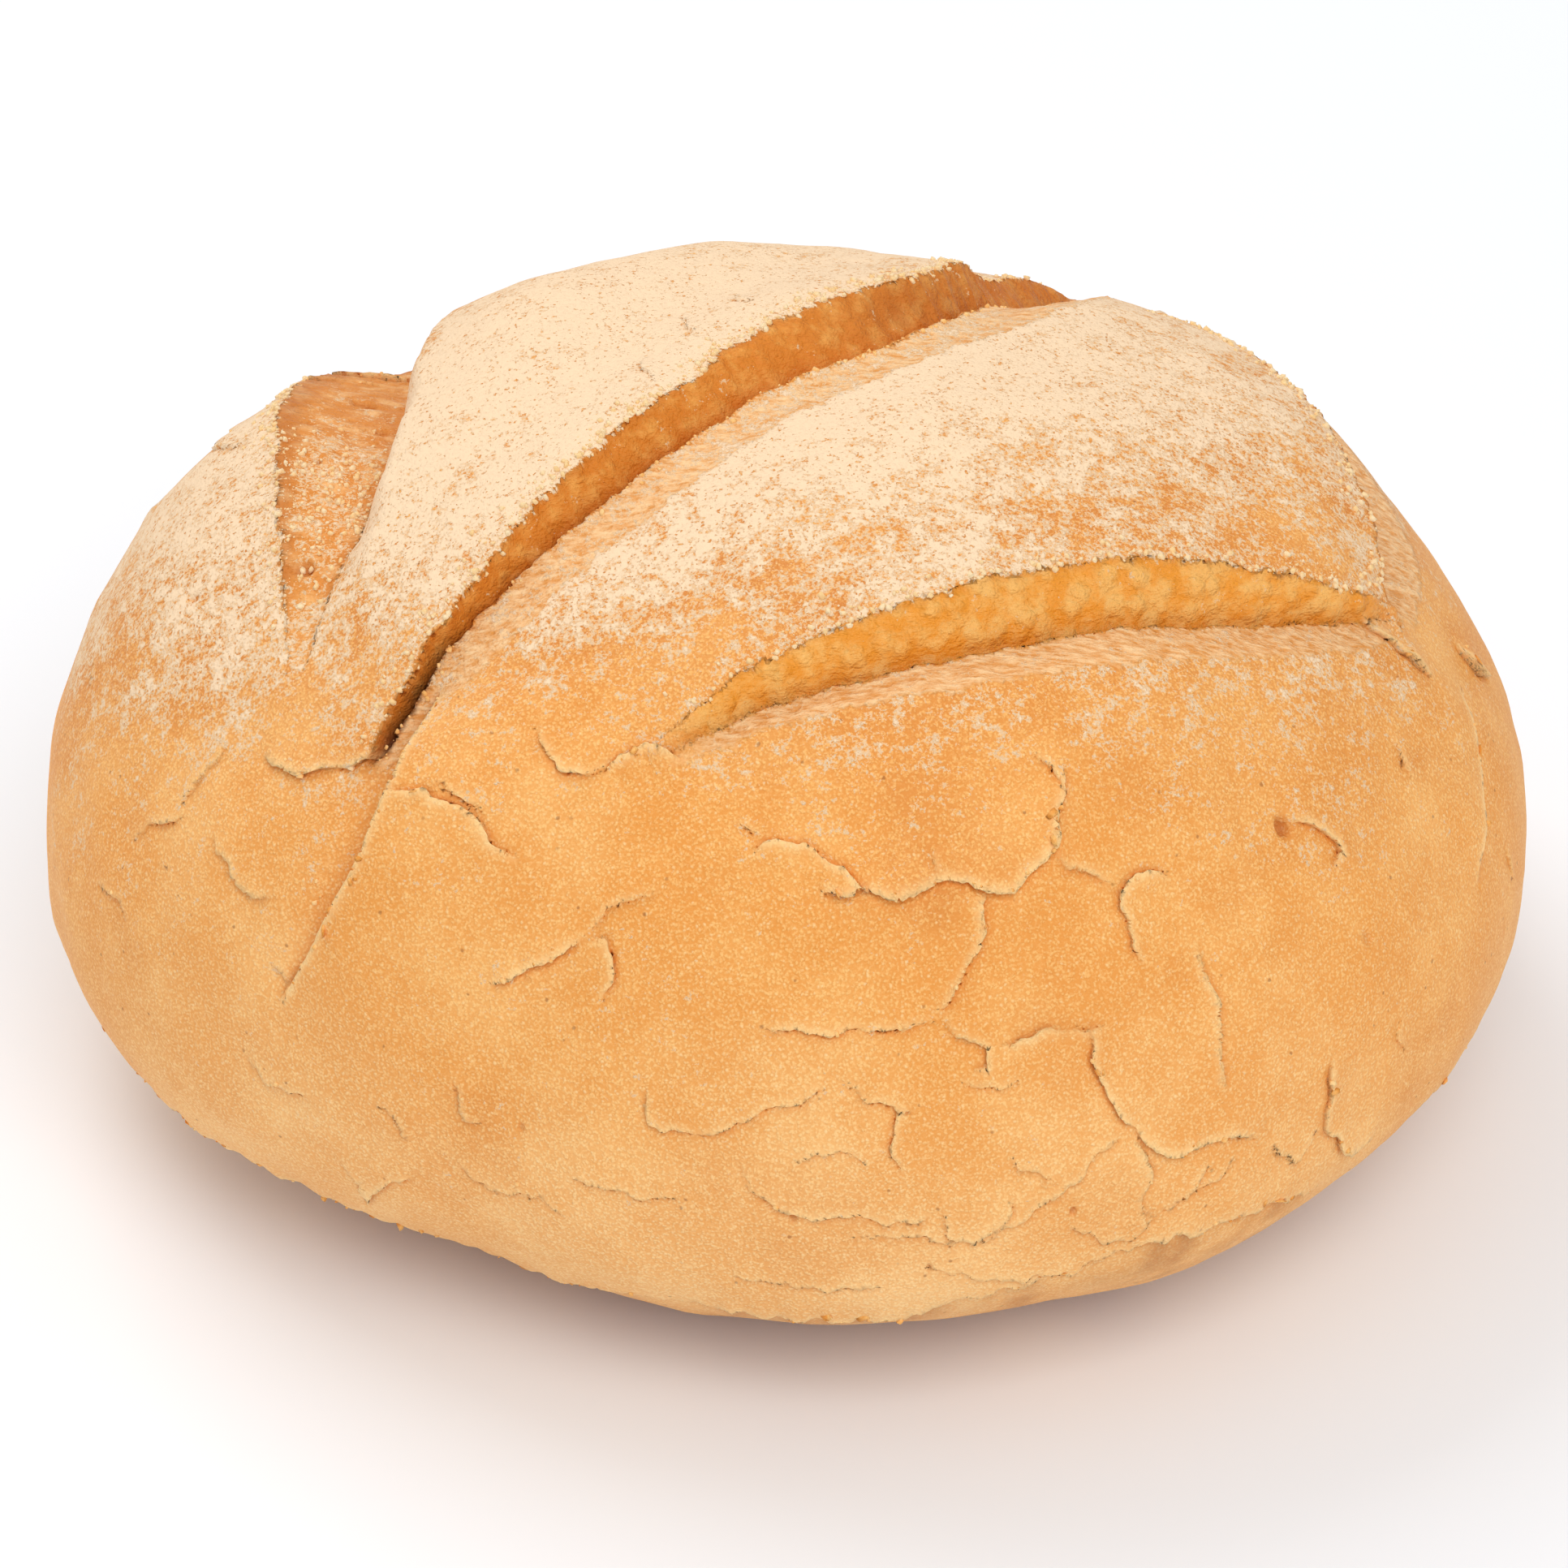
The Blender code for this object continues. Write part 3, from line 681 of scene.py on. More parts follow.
def edge_map():
    """The longest edge that the mesh may keep, in the cells of a grid over the whole skin map."""
    steps = np.arange(-MAP_HALF, MAP_HALF, MAP_CELL)
    v, u = (side.ravel() for side in np.meshgrid(steps, steps, indexing="ij"))
    wanted = np.where(np.hypot(u, v) > FOOT_AWAY, FOOT_EDGE, PLAIN_EDGE)
    for line in LINES:
        near, offset, columns, _ = beside_path(u, v, line.path, 24 * MM if line.wall is None else 3 * MM)
        offset = ragged_offset(line, offset, columns[:, -1])
        wall, strip = line_widths(line, columns)
        shown = line_size(line, columns) > SMALLEST_STEP
        if line.wall is None:
            inside = shown & (offset < wall + 2 * CREST_BAND) & (offset > -strip - CREST_BAND)
            wanted[near[inside]] = np.minimum(wanted[near[inside]], SLASH_EDGE)
        crest = shown & ((np.abs(offset) < CREST_BAND) | (np.abs(offset - wall) < CREST_BAND))
        wanted[near[crest]] = CREST_EDGE
    for (pit_u, pit_v), (radius, _) in zip(pit_places, pit_sizes):
        inside = np.hypot(u - pit_u, v - pit_v) < 1.4 * radius
        wanted[inside] = np.minimum(wanted[inside], 0.5 * radius)
    return wanted.reshape(len(steps), len(steps))


WANTED_EDGES = edge_map()


def wanted_edge(direction):
    """The longest edge that the mesh may keep at each place, read from the grid."""
    cells = [((side + MAP_HALF) / MAP_CELL).astype(int) for side in skin_place(direction)]
    return WANTED_EDGES[cells[1], cells[0]]


def split_once(directions, triangles):
    """Splits every edge that is too long at its middle. Returns None when no edge is."""
    ends = np.sort(triangles[:, [[0, 1], [1, 2], [2, 0]]].reshape(-1, 2), axis=1)
    code = ends[:, 0] * len(directions) + ends[:, 1]
    found, which = np.unique(code, return_inverse=True)
    which = which.reshape(-1, 3)
    edges = np.stack([found // len(directions), found % len(directions)], -1)
    middle = directions[edges].mean(axis=1)
    middle /= np.linalg.norm(middle, axis=1, keepdims=True)
    length = np.linalg.norm(directions[edges[:, 0]] - directions[edges[:, 1]], axis=1) * SKIN_PER_RADIAN
    split = length > wanted_edge(middle)
    if not split.any():
        return None
    longest = np.argmax(length[which], axis=1)
    order = (longest[:, None] + np.arange(3)) % 3
    triangles = np.take_along_axis(triangles, order, axis=1)
    which = np.take_along_axis(which, order, axis=1)
    while True:
        missed = split[which].any(axis=1) & ~split[which[:, 0]]
        if not missed.any():
            break
        split[which[missed, 0]] = True
    number = np.full(len(edges), -1)
    number[split] = len(directions) + np.arange(split.sum())
    first, second, third = number[which].T
    a, b, c = triangles.T
    whole = first < 0
    pieces = [triangles[whole]]

    def keep(mask, *corners):
        pieces.append(np.stack([corner[mask] for corner in corners], -1))

    keep(~whole & (second < 0), first, b, c)
    keep(~whole & (second >= 0), first, b, second)
    keep(~whole & (second >= 0), first, second, c)
    keep(~whole & (third < 0), a, first, c)
    keep(~whole & (third >= 0), a, first, third)
    keep(~whole & (third >= 0), third, first, c)
    return np.vstack([directions, middle[split]]), np.vstack(pieces)


def crust_sphere():
    """Directions and triangles of a sphere that is fine where the crust has detail."""
    bm = bmesh.new()
    bmesh.ops.create_icosphere(bm, subdivisions=6, radius=1.0)
    directions = np.array([vert.co for vert in bm.verts])
    triangles = np.array([[vert.index for vert in face.verts] for face in bm.faces])
    bm.free()
    directions /= np.linalg.norm(directions, axis=1, keepdims=True)
    while (finer := split_once(directions, triangles)) is not None:
        directions, triangles = finer
    return directions, triangles


directions, triangles = crust_sphere()
print("crust sphere:", len(directions), "points,", len(triangles), "triangles")


# %% Points onto crests and creases
def snapped(directions):
    """The directions, with those beside a crease or a lip moved onto it."""
    u, v = skin_place(directions)
    for line in LINES:
        near, offset, columns, left = beside_path(u, v, line.path, 20 * MM if line.wall is None else 2 * MM)
        offset = ragged_offset(line, offset, columns[:, -1])
        wall, _ = line_widths(line, columns)
        move = np.where(offset > wall / 2, wall, 0) - offset
        close = (np.abs(move) < 0.45 * CREST_EDGE) & (line_size(line, columns) > SMALLEST_STEP)
        u[near[close]] += (move * left[:, 0])[close]
        v[near[close]] += (move * left[:, 1])[close]
    return direction_at(u, v)


directions = snapped(directions)

# %% [markdown]
# ## The relief beside each line
#
# The same rule gives height, lean and the masks that the finish reads later: how bare the crust is,
# how much of a wall or a groove it is, where a thin rim of skin stands up, and where shade is painted.

# %% Relief of slashes and steps
MASKS = (
    "bare", "wall", "deep", "glassy", "fresh", "rim", "crease", "lip", "strip", "gap", "crest", "ragged",
    "foot",
)
# How much shade is painted at each slash's bottom and just under its lip
BOTTOM_SHADE = {"left": 0.45, "middle": 0.45, "right": 0.35, "far": 0.6}
BOTTOM_SPREAD = 1.3 * MM
LIP_SPREAD = 2.2 * MM
FULL_STEP = 3 * MM
RIM_SPREAD = 0.7 * MM
# Shares of a step's size that the raised side stands up and the sunk side goes down
STEP_RISE = 0.62
STEP_DROP = 0.38


def slash_relief(line, offset, columns, wall, strip):
    """Height, lean and masks beside a slash."""
    groove_share, wall_power, strip_power, bulge, shoulder = line.profile
    depth, lip, lean, edge, along = columns[:, 4:].T
    depth = np.maximum(depth, 0)
    lip = np.maximum(lip, 0)
    beyond = np.maximum(offset - wall, 0)
    share = np.clip(offset / wall, 0, 1)
    sink = np.clip(share / groove_share, 0, 1)
    climb = np.clip((share - groove_share) / (1 - groove_share), 0, 1)
    fading = bell(beyond, shoulder)
    groove_height = edge - (depth + edge) * smooth_step(0, 1, sink)
    wall_height = -depth + (depth + lip) * climb**wall_power + bulge * np.sin(math.pi * climb)
    strip_share = np.clip(-offset / strip, 0, 1)
    strip_height = edge * (1 - strip_share) ** strip_power - 0.35 * MM * np.sin(math.pi * strip_share)
    size = np.clip((depth + lip) / FULL_STEP, 0, 1)
    height = np.where(share < groove_share, groove_height, wall_height)
    height = np.where(offset > wall, lip * fading, np.where(offset > 0, height, strip_height * size))
    undercut = smooth_step(0.72, 1, share) * np.exp(-beyond / (4 * MM))
    leaning = lean * (0.5 * share * fading + 0.5 * undercut)
    in_wall = (offset > 0) & (offset < wall) & (size > 0.02)
    in_strip = (offset <= 0) & (offset > -strip) & (size > 0.02) & (line.kind != "left")
    bottom = bell(offset - groove_share * wall, BOTTOM_SPREAD) * size
    under_lip = smooth_step(0.84, 0.97, share) * in_wall * np.clip(lip / (2 * MM), 0, 1)
    # Painted shade: darker at the bottom of the groove and just under the lip
    dark = BOTTOM_SHADE[line.kind] * np.maximum(bottom, 0.7 * under_lip) * in_wall
    found = {
        "bare": (in_wall | in_strip) * np.minimum(1, 2 * size),
        "wall": in_wall * size,
        "strip": in_strip * size,
        "lip": bell(beyond, LIP_SPREAD) * (offset > wall) * np.clip(lip / MM, 0, 1),
    }
    if line.kind == "left":
        found["fresh"] = in_wall * size
        # Painted shade in a band under the left slash's lip
        dark = np.maximum(dark, 0.6 * smooth_step(0.76, 0.96, share) * in_wall * size)
    if line.kind == "middle":
        found["crest"] = bell(offset + 0.2 * MM, 0.9 * MM) * size
        near_end = smooth_step(26 * MM, 14 * MM, along) * smooth_step(0, 6 * MM, along)
        # Painted shade: a near-black fissure at the front end of the middle slash's groove
        found["gap"] = bottom * (offset > -0.6 * MM) * near_end
        # Painted shade over the far part of the middle slash's wall
        dark = np.maximum(dark, 0.5 * in_wall * smooth_step(92 * MM, 125 * MM, along))
    if line.kind == "right":
        found["glassy"] = in_wall * size
    found["deep"] = dark
    return height, leaning, found


def step_relief(line, offset, columns, wall):
    """Height, lean and masks beside a fold, a crack or the tucked edge."""
    raised, sunk = line.profile
    folded = line.kind == "fold"
    tucked = line.kind == "tuck"
    size = line_size(line, columns)
    beyond = np.maximum(offset - wall, 0)
    climb = np.clip(offset / wall, 0, 1)
    fading = bell(beyond, raised) if folded else np.clip(1 - (offset - wall) / raised, 0, 1) ** 1.7
    drop = np.clip(1 + offset / sunk, 0, 1) ** 2
    height = np.where(offset > wall, STEP_RISE * size * fading, STEP_DROP * size * drop * -1)
    between = (offset > 0) & (offset < wall)
    height = np.where(between, size * (-STEP_DROP + climb**0.8), height)
    lean_by, lean_reach = (0.5, 9 * MM) if folded else (0.75, 2.5 * MM)
    leaning = lean_by * size * climb * np.exp(-beyond / lean_reach)
    strength = np.clip(size / MM, 0, 1)
    # Pale rim of the raised skin: paler torn skin with a painted highlight
    rim = bell(beyond, RIM_SPREAD) * (offset >= 0.6 * wall) * strength
    found = {
        "rim": rim,
        # Painted shadow on the sunk side, just below the step
        "crease": bell(np.minimum(offset, 0), RIM_SPREAD) * (offset < 0.5 * wall) * strength,
        "ragged": rim * (1.0 if tucked else smooth_step(0.9 * MM, 1.8 * MM, size)),
    }
    if tucked:
        found["foot"] = smooth_step(2.0 * MM, -0.5 * MM, offset) * np.clip(size / (1.2 * MM), 0, 1)
    return height, leaning, found


def crust_relief(directions):
    """Where each point of the skin moves to, its height over the body, and the masks."""
    u, v = skin_place(directions)
    masks = {name: np.zeros(len(u)) for name in MASKS}
    height = ridge_height(u, v)
    moved = np.stack([u, v], -1)
    for line in LINES:
        near, offset, columns, left = beside_path(u, v, line.path, line.reach)
        offset = ragged_offset(line, offset, columns[:, -1])
        wall, strip = line_widths(line, columns)
        if line.wall is None:
            rise, lean, found = slash_relief(line, offset, columns, wall, strip)
        else:
            rise, lean, found = step_relief(line, offset, columns, wall)
        height[near] += rise
        moved[near] -= lean[:, None] * left
        for name, values in found.items():
            masks[name][near] = np.maximum(masks[name][near], values)
    for (pit_u, pit_v), (radius, depth) in zip(pit_places, pit_sizes):
        away = np.hypot(u - pit_u, v - pit_v) / radius
        height -= depth * smooth_step(1.25, 0.3, away)
        # Painted shade in each pit
        dark = smooth_step(1.1, 0.5, away)
        masks["deep"] = np.maximum(masks["deep"], 0.8 * dark * min(1, depth / (1.5 * MM)))
    return moved, height, masks


moved, height, masks = crust_relief(directions)
print("relief from", round(height.min() / MM, 1), "to", round(height.max() / MM, 1), "mm")

# %% [markdown]
# ## The dough's own texture
#
# The plain crust is dented and finely lumpy. Torn walls are fibrous and blown up into soft blisters,
# the right-hand one most of all. Dents come from noise in space, and blisters from the distance to
# scattered centres.

# %% Dents, lumps, fibres and blisters
DENTS = ((34 * MM, 1.1 * MM), (13 * MM, 0.45 * MM), (5 * MM, 0.16 * MM))
BLISTER_SIZE = 2.6 * MM


def blisters(points, size, seed):
    """Domes over scattered centres: 1 at a centre, 0 between them."""
    shift = Vector((seed, seed, seed))
    gaps = np.array([noise.voronoi(Vector(point) + shift)[0][0] for point in points / size])
    return np.clip(1 - gaps * 1.3, 0, 1)


smooth_points = body_point(directions)
for size, amount in DENTS:
    height += amount * noise_at(smooth_points, size, 0)

in_slash = np.flatnonzero(masks["bare"] > 0)
inside = smooth_points[in_slash]
fibres = noise_at(inside * [1, 1, 2.2], 1.9 * MM, 3)
height[in_slash] += 0.22 * MM * fibres
walled = np.flatnonzero(masks["wall"] > 0)
domes = blisters(smooth_points[walled], BLISTER_SIZE, 2)
height[walled] += (0.35 + 0.15 * masks["glassy"][walled]) * MM * domes * masks["wall"][walled]
lipped = np.flatnonzero(masks["lip"] > 0.02)
clumps = noise_at(smooth_points[lipped], 1.3 * MM, 6)
height[lipped] += 0.5 * MM * np.maximum(clumps, 0) * masks["lip"][lipped]
print("points in slashes:", len(in_slash), "and on walls:", len(walled))


# %% The finished points
BOX_MARGIN = 0.75 * MM
SOFT_LIMIT = 0.8 * MM


def fit_in_packed_box(points):
    """The points over the origin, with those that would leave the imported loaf's box held just inside."""
    points = points + BODY_SHIFT
    limit = np.array(packed_box[1]) - BOX_MARGIN
    beyond = np.maximum(np.abs(points) - (limit - SOFT_LIMIT), 0)
    held = np.where(beyond > 0, limit - SOFT_LIMIT * np.exp(-beyond / SOFT_LIMIT), np.abs(points))
    print("furthest point that is held back:", round((np.abs(points) - held).max() / MM, 2), "mm")
    return np.sign(points) * held


leaning = direction_at(moved[:, 0], moved[:, 1])
points = body_point(leaning) + body_normal(leaning) * height[:, None]
points[:, 2] = np.maximum(points[:, 2], 0)
points = fit_in_packed_box(points)


# %% [markdown]
# ## Where flour lies
#
# A sieve dusts the round crown, most of the flour stays on the two ridges, and hands and the oven's
# peel rub it off the flanks. The amount was read off the photograph at places all over the side that
# shows, and away from them it fades outwards from the crown. The finish breaks this smooth amount up
# into real patches.

# %% Flour amounts
# Across and down in the photograph, then the amount: 0 bare, 0.5 patches, over 1 a thick coat
FLOUR_PLACES = (
    (600, 450, 1.15), (700, 400, 1.2), (850, 350, 1.2), (1000, 315, 1.1), (1130, 325, 1.0),
    (560, 560, 1.15), (700, 520, 1.15), (800, 440, 1.15), (520, 650, 1.0), (620, 630, 1.05),
    (480, 740, 0.8), (560, 720, 0.9), (450, 820, 0.62), (420, 880, 0.42), (270, 560, 1.0),
    (200, 640, 0.95), (300, 620, 1.0), (250, 700, 0.9), (150, 720, 0.75), (320, 700, 0.9),
    (230, 780, 0.78), (140, 800, 0.62), (320, 790, 0.85), (110, 880, 0.42), (220, 880, 0.52),
    (310, 880, 0.5), (1300, 390, 1.05), (1450, 400, 0.95), (1150, 440, 1.2), (1300, 470, 1.12),
    (1450, 480, 0.98), (1600, 520, 0.8), (1000, 520, 1.2), (1150, 540, 1.08), (1300, 560, 0.9),
    (1450, 570, 0.8), (1600, 600, 0.72), (1660, 680, 0.6), (880, 600, 1.12), (1000, 620, 0.92),
    (1150, 640, 0.88), (1300, 640, 0.62), (1450, 650, 0.6), (1550, 660, 0.4), (760, 690, 1.05),
    (880, 700, 0.74), (1000, 700, 0.62), (1080, 730, 0.85), (680, 760, 0.85), (780, 780, 0.66),
    (880, 790, 0.42), (600, 830, 0.55), (700, 860, 0.35), (800, 870, 0.4), (640, 890, 0.2),
    (760, 920, 0.15), (900, 930, 0.4), (1020, 920, 0.5), (1100, 900, 0.5), (1200, 870, 0.5),
    (1300, 850, 0.45), (1400, 830, 0.55), (1500, 810, 0.65), (1620, 800, 0.8), (1690, 830, 0.5),
    (1000, 1000, 0.2), (1100, 980, 0.15), (1250, 950, 0.25), (1400, 920, 0.35), (1500, 900, 0.4),
    (1600, 900, 0.35), (1650, 940, 0.4), (1500, 980, 0.25), (1700, 900, 0.25), (1750, 980, 0.1),
    (950, 1150, 0), (700, 1050, 0), (1250, 1200, 0), (1500, 1150, 0), (500, 1080, 0.1),
    (300, 1020, 0.2), (200, 1000, 0.25), (100, 1000, 0.25), (1750, 1150, 0), (600, 1300, 0.08),
    (1800, 850, 0.2), (1850, 1000, 0), (350, 1250, 0.12), (850, 1050, 0.05), (1300, 1050, 0.05),
)
FLOUR_SPREAD = 9 * MM
# Away from those places the amount falls from the crown outwards
FADE_AWAY = (0, 50, 80, 96, 112, 125)
FADE_AMOUNT = (1.0, 0.95, 0.7, 0.45, 0.15, 0)
FADE_WEIGHT = 0.02


def amounts_around(u, v, places, spread, weights, total):
    """The mean of the places' amounts at each point, weighed by nearness, over a first weight and total."""
    weights = weights.copy()
    total = total.copy()
    found = place_seen_at([place[:2] for place in places])
    for (place_u, place_v), (_, _, amount) in zip(found, places):
        weight = np.exp(-((u - place_u) ** 2 + (v - place_v) ** 2) / spread**2)
        weights += weight
        total += amount * weight
    return total / weights


def flour_amounts(directions, masks):
    """The amount of flour at each point: 0 for none, about 0.5 for patches, over 1 for a thick coat."""
    u, v = skin_place(directions)
    slow = noise_at(body_point(directions), 20 * MM, 11)
    weights = np.full(len(u), FADE_WEIGHT)
    total = FADE_WEIGHT * np.interp(np.hypot(u, v) / MM + 9 * slow, FADE_AWAY, FADE_AMOUNT)
    amount = amounts_around(u, v, FLOUR_PLACES, FLOUR_SPREAD, weights, total)
    sheltered = 0.9 * masks["wall"] - 0.32 * masks["fresh"] + 0.5 * masks["strip"] + 0.5 * masks["crease"]
    return amount * (1 - np.clip(sheltered + 0.6 * masks["deep"], 0, 0.95))


# Places where the flank is paler: across and down in the photograph, then how pale. The paleness is
# partly the crust's own tone and partly painted light bounced up from the floor
PALE_PLACES = (
    (300, 1250, 0.65), (200, 1150, 0.5), (120, 1080, 0.1), (450, 1400, 0.7), (700, 1480, 0.8),
    (900, 1500, 0.85), (1050, 1440, 0.75), (1100, 1550, 0.9), (1300, 1480, 0.7), (1250, 1400, 0.45),
    (900, 1400, 0.6), (600, 1250, 0.25), (950, 1150, 0), (1250, 1150, 0), (1500, 1150, 0.1),
    (1700, 1150, 0.15), (1800, 1000, 0.2), (1600, 1330, 0.5), (1420, 1420, 0.5), (500, 1100, 0.2),
    (750, 1300, 0.2), (1150, 1300, 0), (350, 1050, 0.35),
)
PALE_SPREAD = 15 * MM

# A torn crumb sticks out at the end of the long fold
CRUMB_PIXEL = (386, 1092)
CRUMB_RADIUS = 1.8 * MM
# Clumps lie on the left slash's wall in a band across it
DUSTED_MIDDLE = -6 * MM
DUSTED_SPREAD = 16 * MM

masks["flour"] = flour_amounts(directions, masks)
crust_u, crust_v = skin_place(directions)
dusted = bell(crust_v - DUSTED_MIDDLE, DUSTED_SPREAD)
masks["flour"] += 0.22 * masks["fresh"] * dusted
masks["clump"] = np.clip(masks["lip"] * masks["flour"] + 0.55 * masks["fresh"] * dusted, 0, 1)
masks["torn"] = np.clip(masks["rim"] * 0.12 + 0.8 * masks["crest"], 0, 1)
crumb_u, crumb_v = place_seen_at([CRUMB_PIXEL])[0]
masks["torn"] = np.maximum(masks["torn"], np.hypot(crust_u - crumb_u, crust_v - crumb_v) < CRUMB_RADIUS)
height_above = points[:, 2]
fallen = smooth_step(58 * MM, 18 * MM, height_above)
weights = np.full(len(crust_u), FADE_WEIGHT)
pale_flank = amounts_around(crust_u, crust_v, PALE_PLACES, PALE_SPREAD, weights, 0.5 * fallen * weights)
# Paler towards the floor: partly the crust's own tone, partly painted bounce light
masks["low"] = 0.3 * fallen + 0.7 * pale_flank
print("floured points:", int((masks["flour"] > 0.5).sum()))

# %% [markdown]
# The oven browns the skin unevenly: some patches of the flank are toasted. The skin also turns brown
# towards the foot, and in ragged patches along the tucked edge.

# %% Toasted patches and the underside
CLOUD_SIZE = 26 * MM
SPECKLE_SIZE = 7 * MM
FRAY_SIZE = 2.2 * MM
# The brown of the underside starts and is full at these heights, give or take the noise
BROWN_STARTS = 14 * MM
BROWN_FULL = 4 * MM

cloud = noise_at(smooth_points, CLOUD_SIZE, 21)
speckled = noise_at(smooth_points, SPECKLE_SIZE, 22)
masks["toast"] = smooth_step(0.05, 0.55, cloud + 0.35 * speckled) * (1 - 0.7 * masks["low"])
wavering_height = height_above + 6 * MM * speckled + 3 * MM * cloud
masks["under"] = smooth_step(BROWN_STARTS, BROWN_FULL, wavering_height)
patchy = smooth_step(-0.7, 0.5, speckled + 0.5 * noise_at(smooth_points, FRAY_SIZE, 23))
masks["under"] = np.maximum(masks["under"], 0.7 * patchy * masks["foot"])


# %% The crust as a mesh
def in_scene(name, data):
    """A new object of the scene that shows this data."""
    made = bpy.data.objects.new(name, data)
    bpy.context.collection.objects.link(made)
    return made


def crust_mesh():
    """The crust's mesh, with its masks as attributes of its points."""
    mesh = bpy.data.meshes.new("crust")
    mesh.from_pydata(points.tolist(), [], triangles.tolist())
    mesh.update()
    for name, values in masks.items():
        layer = mesh.attributes.new(name, "FLOAT", "POINT")
        layer.data.foreach_set("value", values.astype(np.float32))
    mesh.shade_smooth()
    return mesh


crust = in_scene("crust", crust_mesh())
print("crust:", len(crust.data.polygons), "triangles")

# %% [markdown]
# ## Node helpers
#
# Material nodes are quick to place by hand and hard to read in code, so a few helpers keep each line
# to one idea: a node with its inputs in order, a sum, a fade between two values, a mix of two colours.


# %% Node helpers
def colour(red, green, blue):
    """A colour as the eye reads it, 0 to 255, turned into the linear values that a shader takes."""
    shares = np.array([red, green, blue]) / 255
    linear = np.where(shares <= 0.04045, shares / 12.92, ((shares + 0.055) / 1.055) ** 2.4)
    return (*linear.tolist(), 1.0)


def feed(tree, sockets, values):
    """Joins or sets the sockets in order. A value of None leaves its socket alone."""
    for socket, value in zip(sockets, values):
        if isinstance(value, bpy.types.NodeSocket):
            tree.links.new(value, socket)
        elif value is not None:
            socket.default_value = value


def add(tree, kind, *values, **settings):
    """A shader node with its settings made and its inputs, in order, joined or set."""
    node = tree.nodes.new("ShaderNode" + kind)
    for name, value in settings.items():
        setattr(node, name, value)
    feed(tree, [socket for socket in node.inputs if socket.enabled], values)
    return [socket for socket in node.outputs if socket.enabled]


def calc(tree, operation, first, second=0.0, clamp=False):
    return add(tree, "Math", first, second, operation=operation, use_clamp=clamp)[0]


def weighted(tree, *parts):
    """The sum of the values, each times its own weight."""
    products = [value if weight == 1 else calc(tree, "MULTIPLY", value, weight) for value, weight in parts]
    total = products[0]
    for product in products[1:]:
        total = calc(tree, "ADD", total, product)
    return total


def fade(tree, value, low, high):
    """0 where the value is at low, 1 where it is at high, and smooth between."""
    return add(tree, "MapRange", value, low, high, 0.0, 1.0, interpolation_type="SMOOTHSTEP")[0]


def mix(tree, share, first, second):
    return add(tree, "Mix", share, first, second, data_type="RGBA")[0]


def cloud_of(tree, place, scale, detail, roughness):
    return add(tree, "TexNoise", place, scale, detail, roughness)[0]


def mask_of(tree, name):
    """One of the crust's own masks."""
    return add(tree, "Attribute", attribute_name=name)[2]


def new_group(name, inputs, outputs):
    """An empty shader group with these inputs, given with their values, and these outputs."""
    tree = bpy.data.node_groups.new(name, "ShaderNodeTree")
    for label, value in inputs.items():
        socket = tree.interface.new_socket(label, in_out="INPUT", socket_type="NodeSocketFloat")
        socket.default_value = value
    for label in outputs:
        tree.interface.new_socket(label, in_out="OUTPUT", socket_type="NodeSocketFloat")
    into = tree.nodes.new("NodeGroupInput").outputs
    out = tree.nodes.new("NodeGroupOutput").inputs
    return tree, into, out


def place_group(tree, group, *values):
    """The group in a material, with its inputs joined or set in order."""
    node = tree.nodes.new("ShaderNodeGroup")
    node.node_tree = group
    feed(tree, node.inputs, values)
    return node.outputs


def new_material(name):
    """A material with its node tree and its shader."""
    material = bpy.data.materials.new(name)
    material.use_nodes = True
    return material, material.node_tree, material.node_tree.nodes["Principled BSDF"]


# %% [markdown]
# ## Flour
#
# Flour lies in fine grains that gather into clusters and patches. Three sizes of noise add up to one
# rough landscape, and flour shows where the amount lifts it over a level. Pin holes let the crust show
# through thin flour.

# %% Flour group
FLOUR_SIZES = {"Patch Size": 6.0 * MM, "Cluster Size": 1.6 * MM, "Grain Size": 0.5 * MM}
PATCH_WEIGHT = 0.27
CLUSTER_WEIGHT = 0.37
GRAIN_WEIGHT = 0.36
LANDSCAPE_RISE = 6.6
AMOUNT_RISE = 1.4
PIN_HOLE_DEPTH = 0.9


def flour_group():
    """A shader group that turns an amount of flour into its cover, thickness and height."""
    inputs = {"Amount": 0.5, **FLOUR_SIZES}
    tree, into, out = new_group("flour_dust", inputs, ("Cover", "Thickness", "Height"))
    place = add(tree, "TexCoord")[3]
    scales = [calc(tree, "DIVIDE", 1.0, size) for size in list(into)[1:4]]
    patches, clusters, grains = (cloud_of(tree, place, scale, 3.0, 0.65) for scale in scales)
    rough = weighted(tree, (patches, PATCH_WEIGHT), (clusters, CLUSTER_WEIGHT), (grains, GRAIN_WEIGHT))
    centred = calc(tree, "SUBTRACT", rough, 0.5)
    lifted = weighted(tree, (centred, LANDSCAPE_RISE), (into[0], AMOUNT_RISE))
    pin_scale = calc(tree, "DIVIDE", 0.8, into[3])
    pin_holes = fade(tree, cloud_of(tree, place, pin_scale, 2.0, 0.6), 0.58, 0.70)
    lifted = calc(tree, "SUBTRACT", lifted, calc(tree, "MULTIPLY", pin_holes, PIN_HOLE_DEPTH))
    cover = fade(tree, lifted, 0.70, 0.83)
    thickness = fade(tree, lifted, 0.76, 1.36)
    lumps = weighted(tree, (grains, 0.35), (clusters, 1))
    height = calc(tree, "MULTIPLY", thickness, lumps)
    for value, socket in zip((cover, thickness, height), out):
        tree.links.new(value, socket)
    return tree


FLOUR = flour_group()

# %% [markdown]
# ## Baked skin
#
# Steam raises thousands of tiny blisters on the skin, each paler than the crust round it, and a few
# toasted specks lie between them. Cells round scattered centres make both, and a random value for each
# cell picks the ones that show.

# %% Skin group
SKIN_BLISTER = 0.5 * MM
BEND_SCALE = 900.0
BEND = (0.6 * MM, 0.6 * MM, 0.6 * MM)
SPECK_SCALE = 420.0


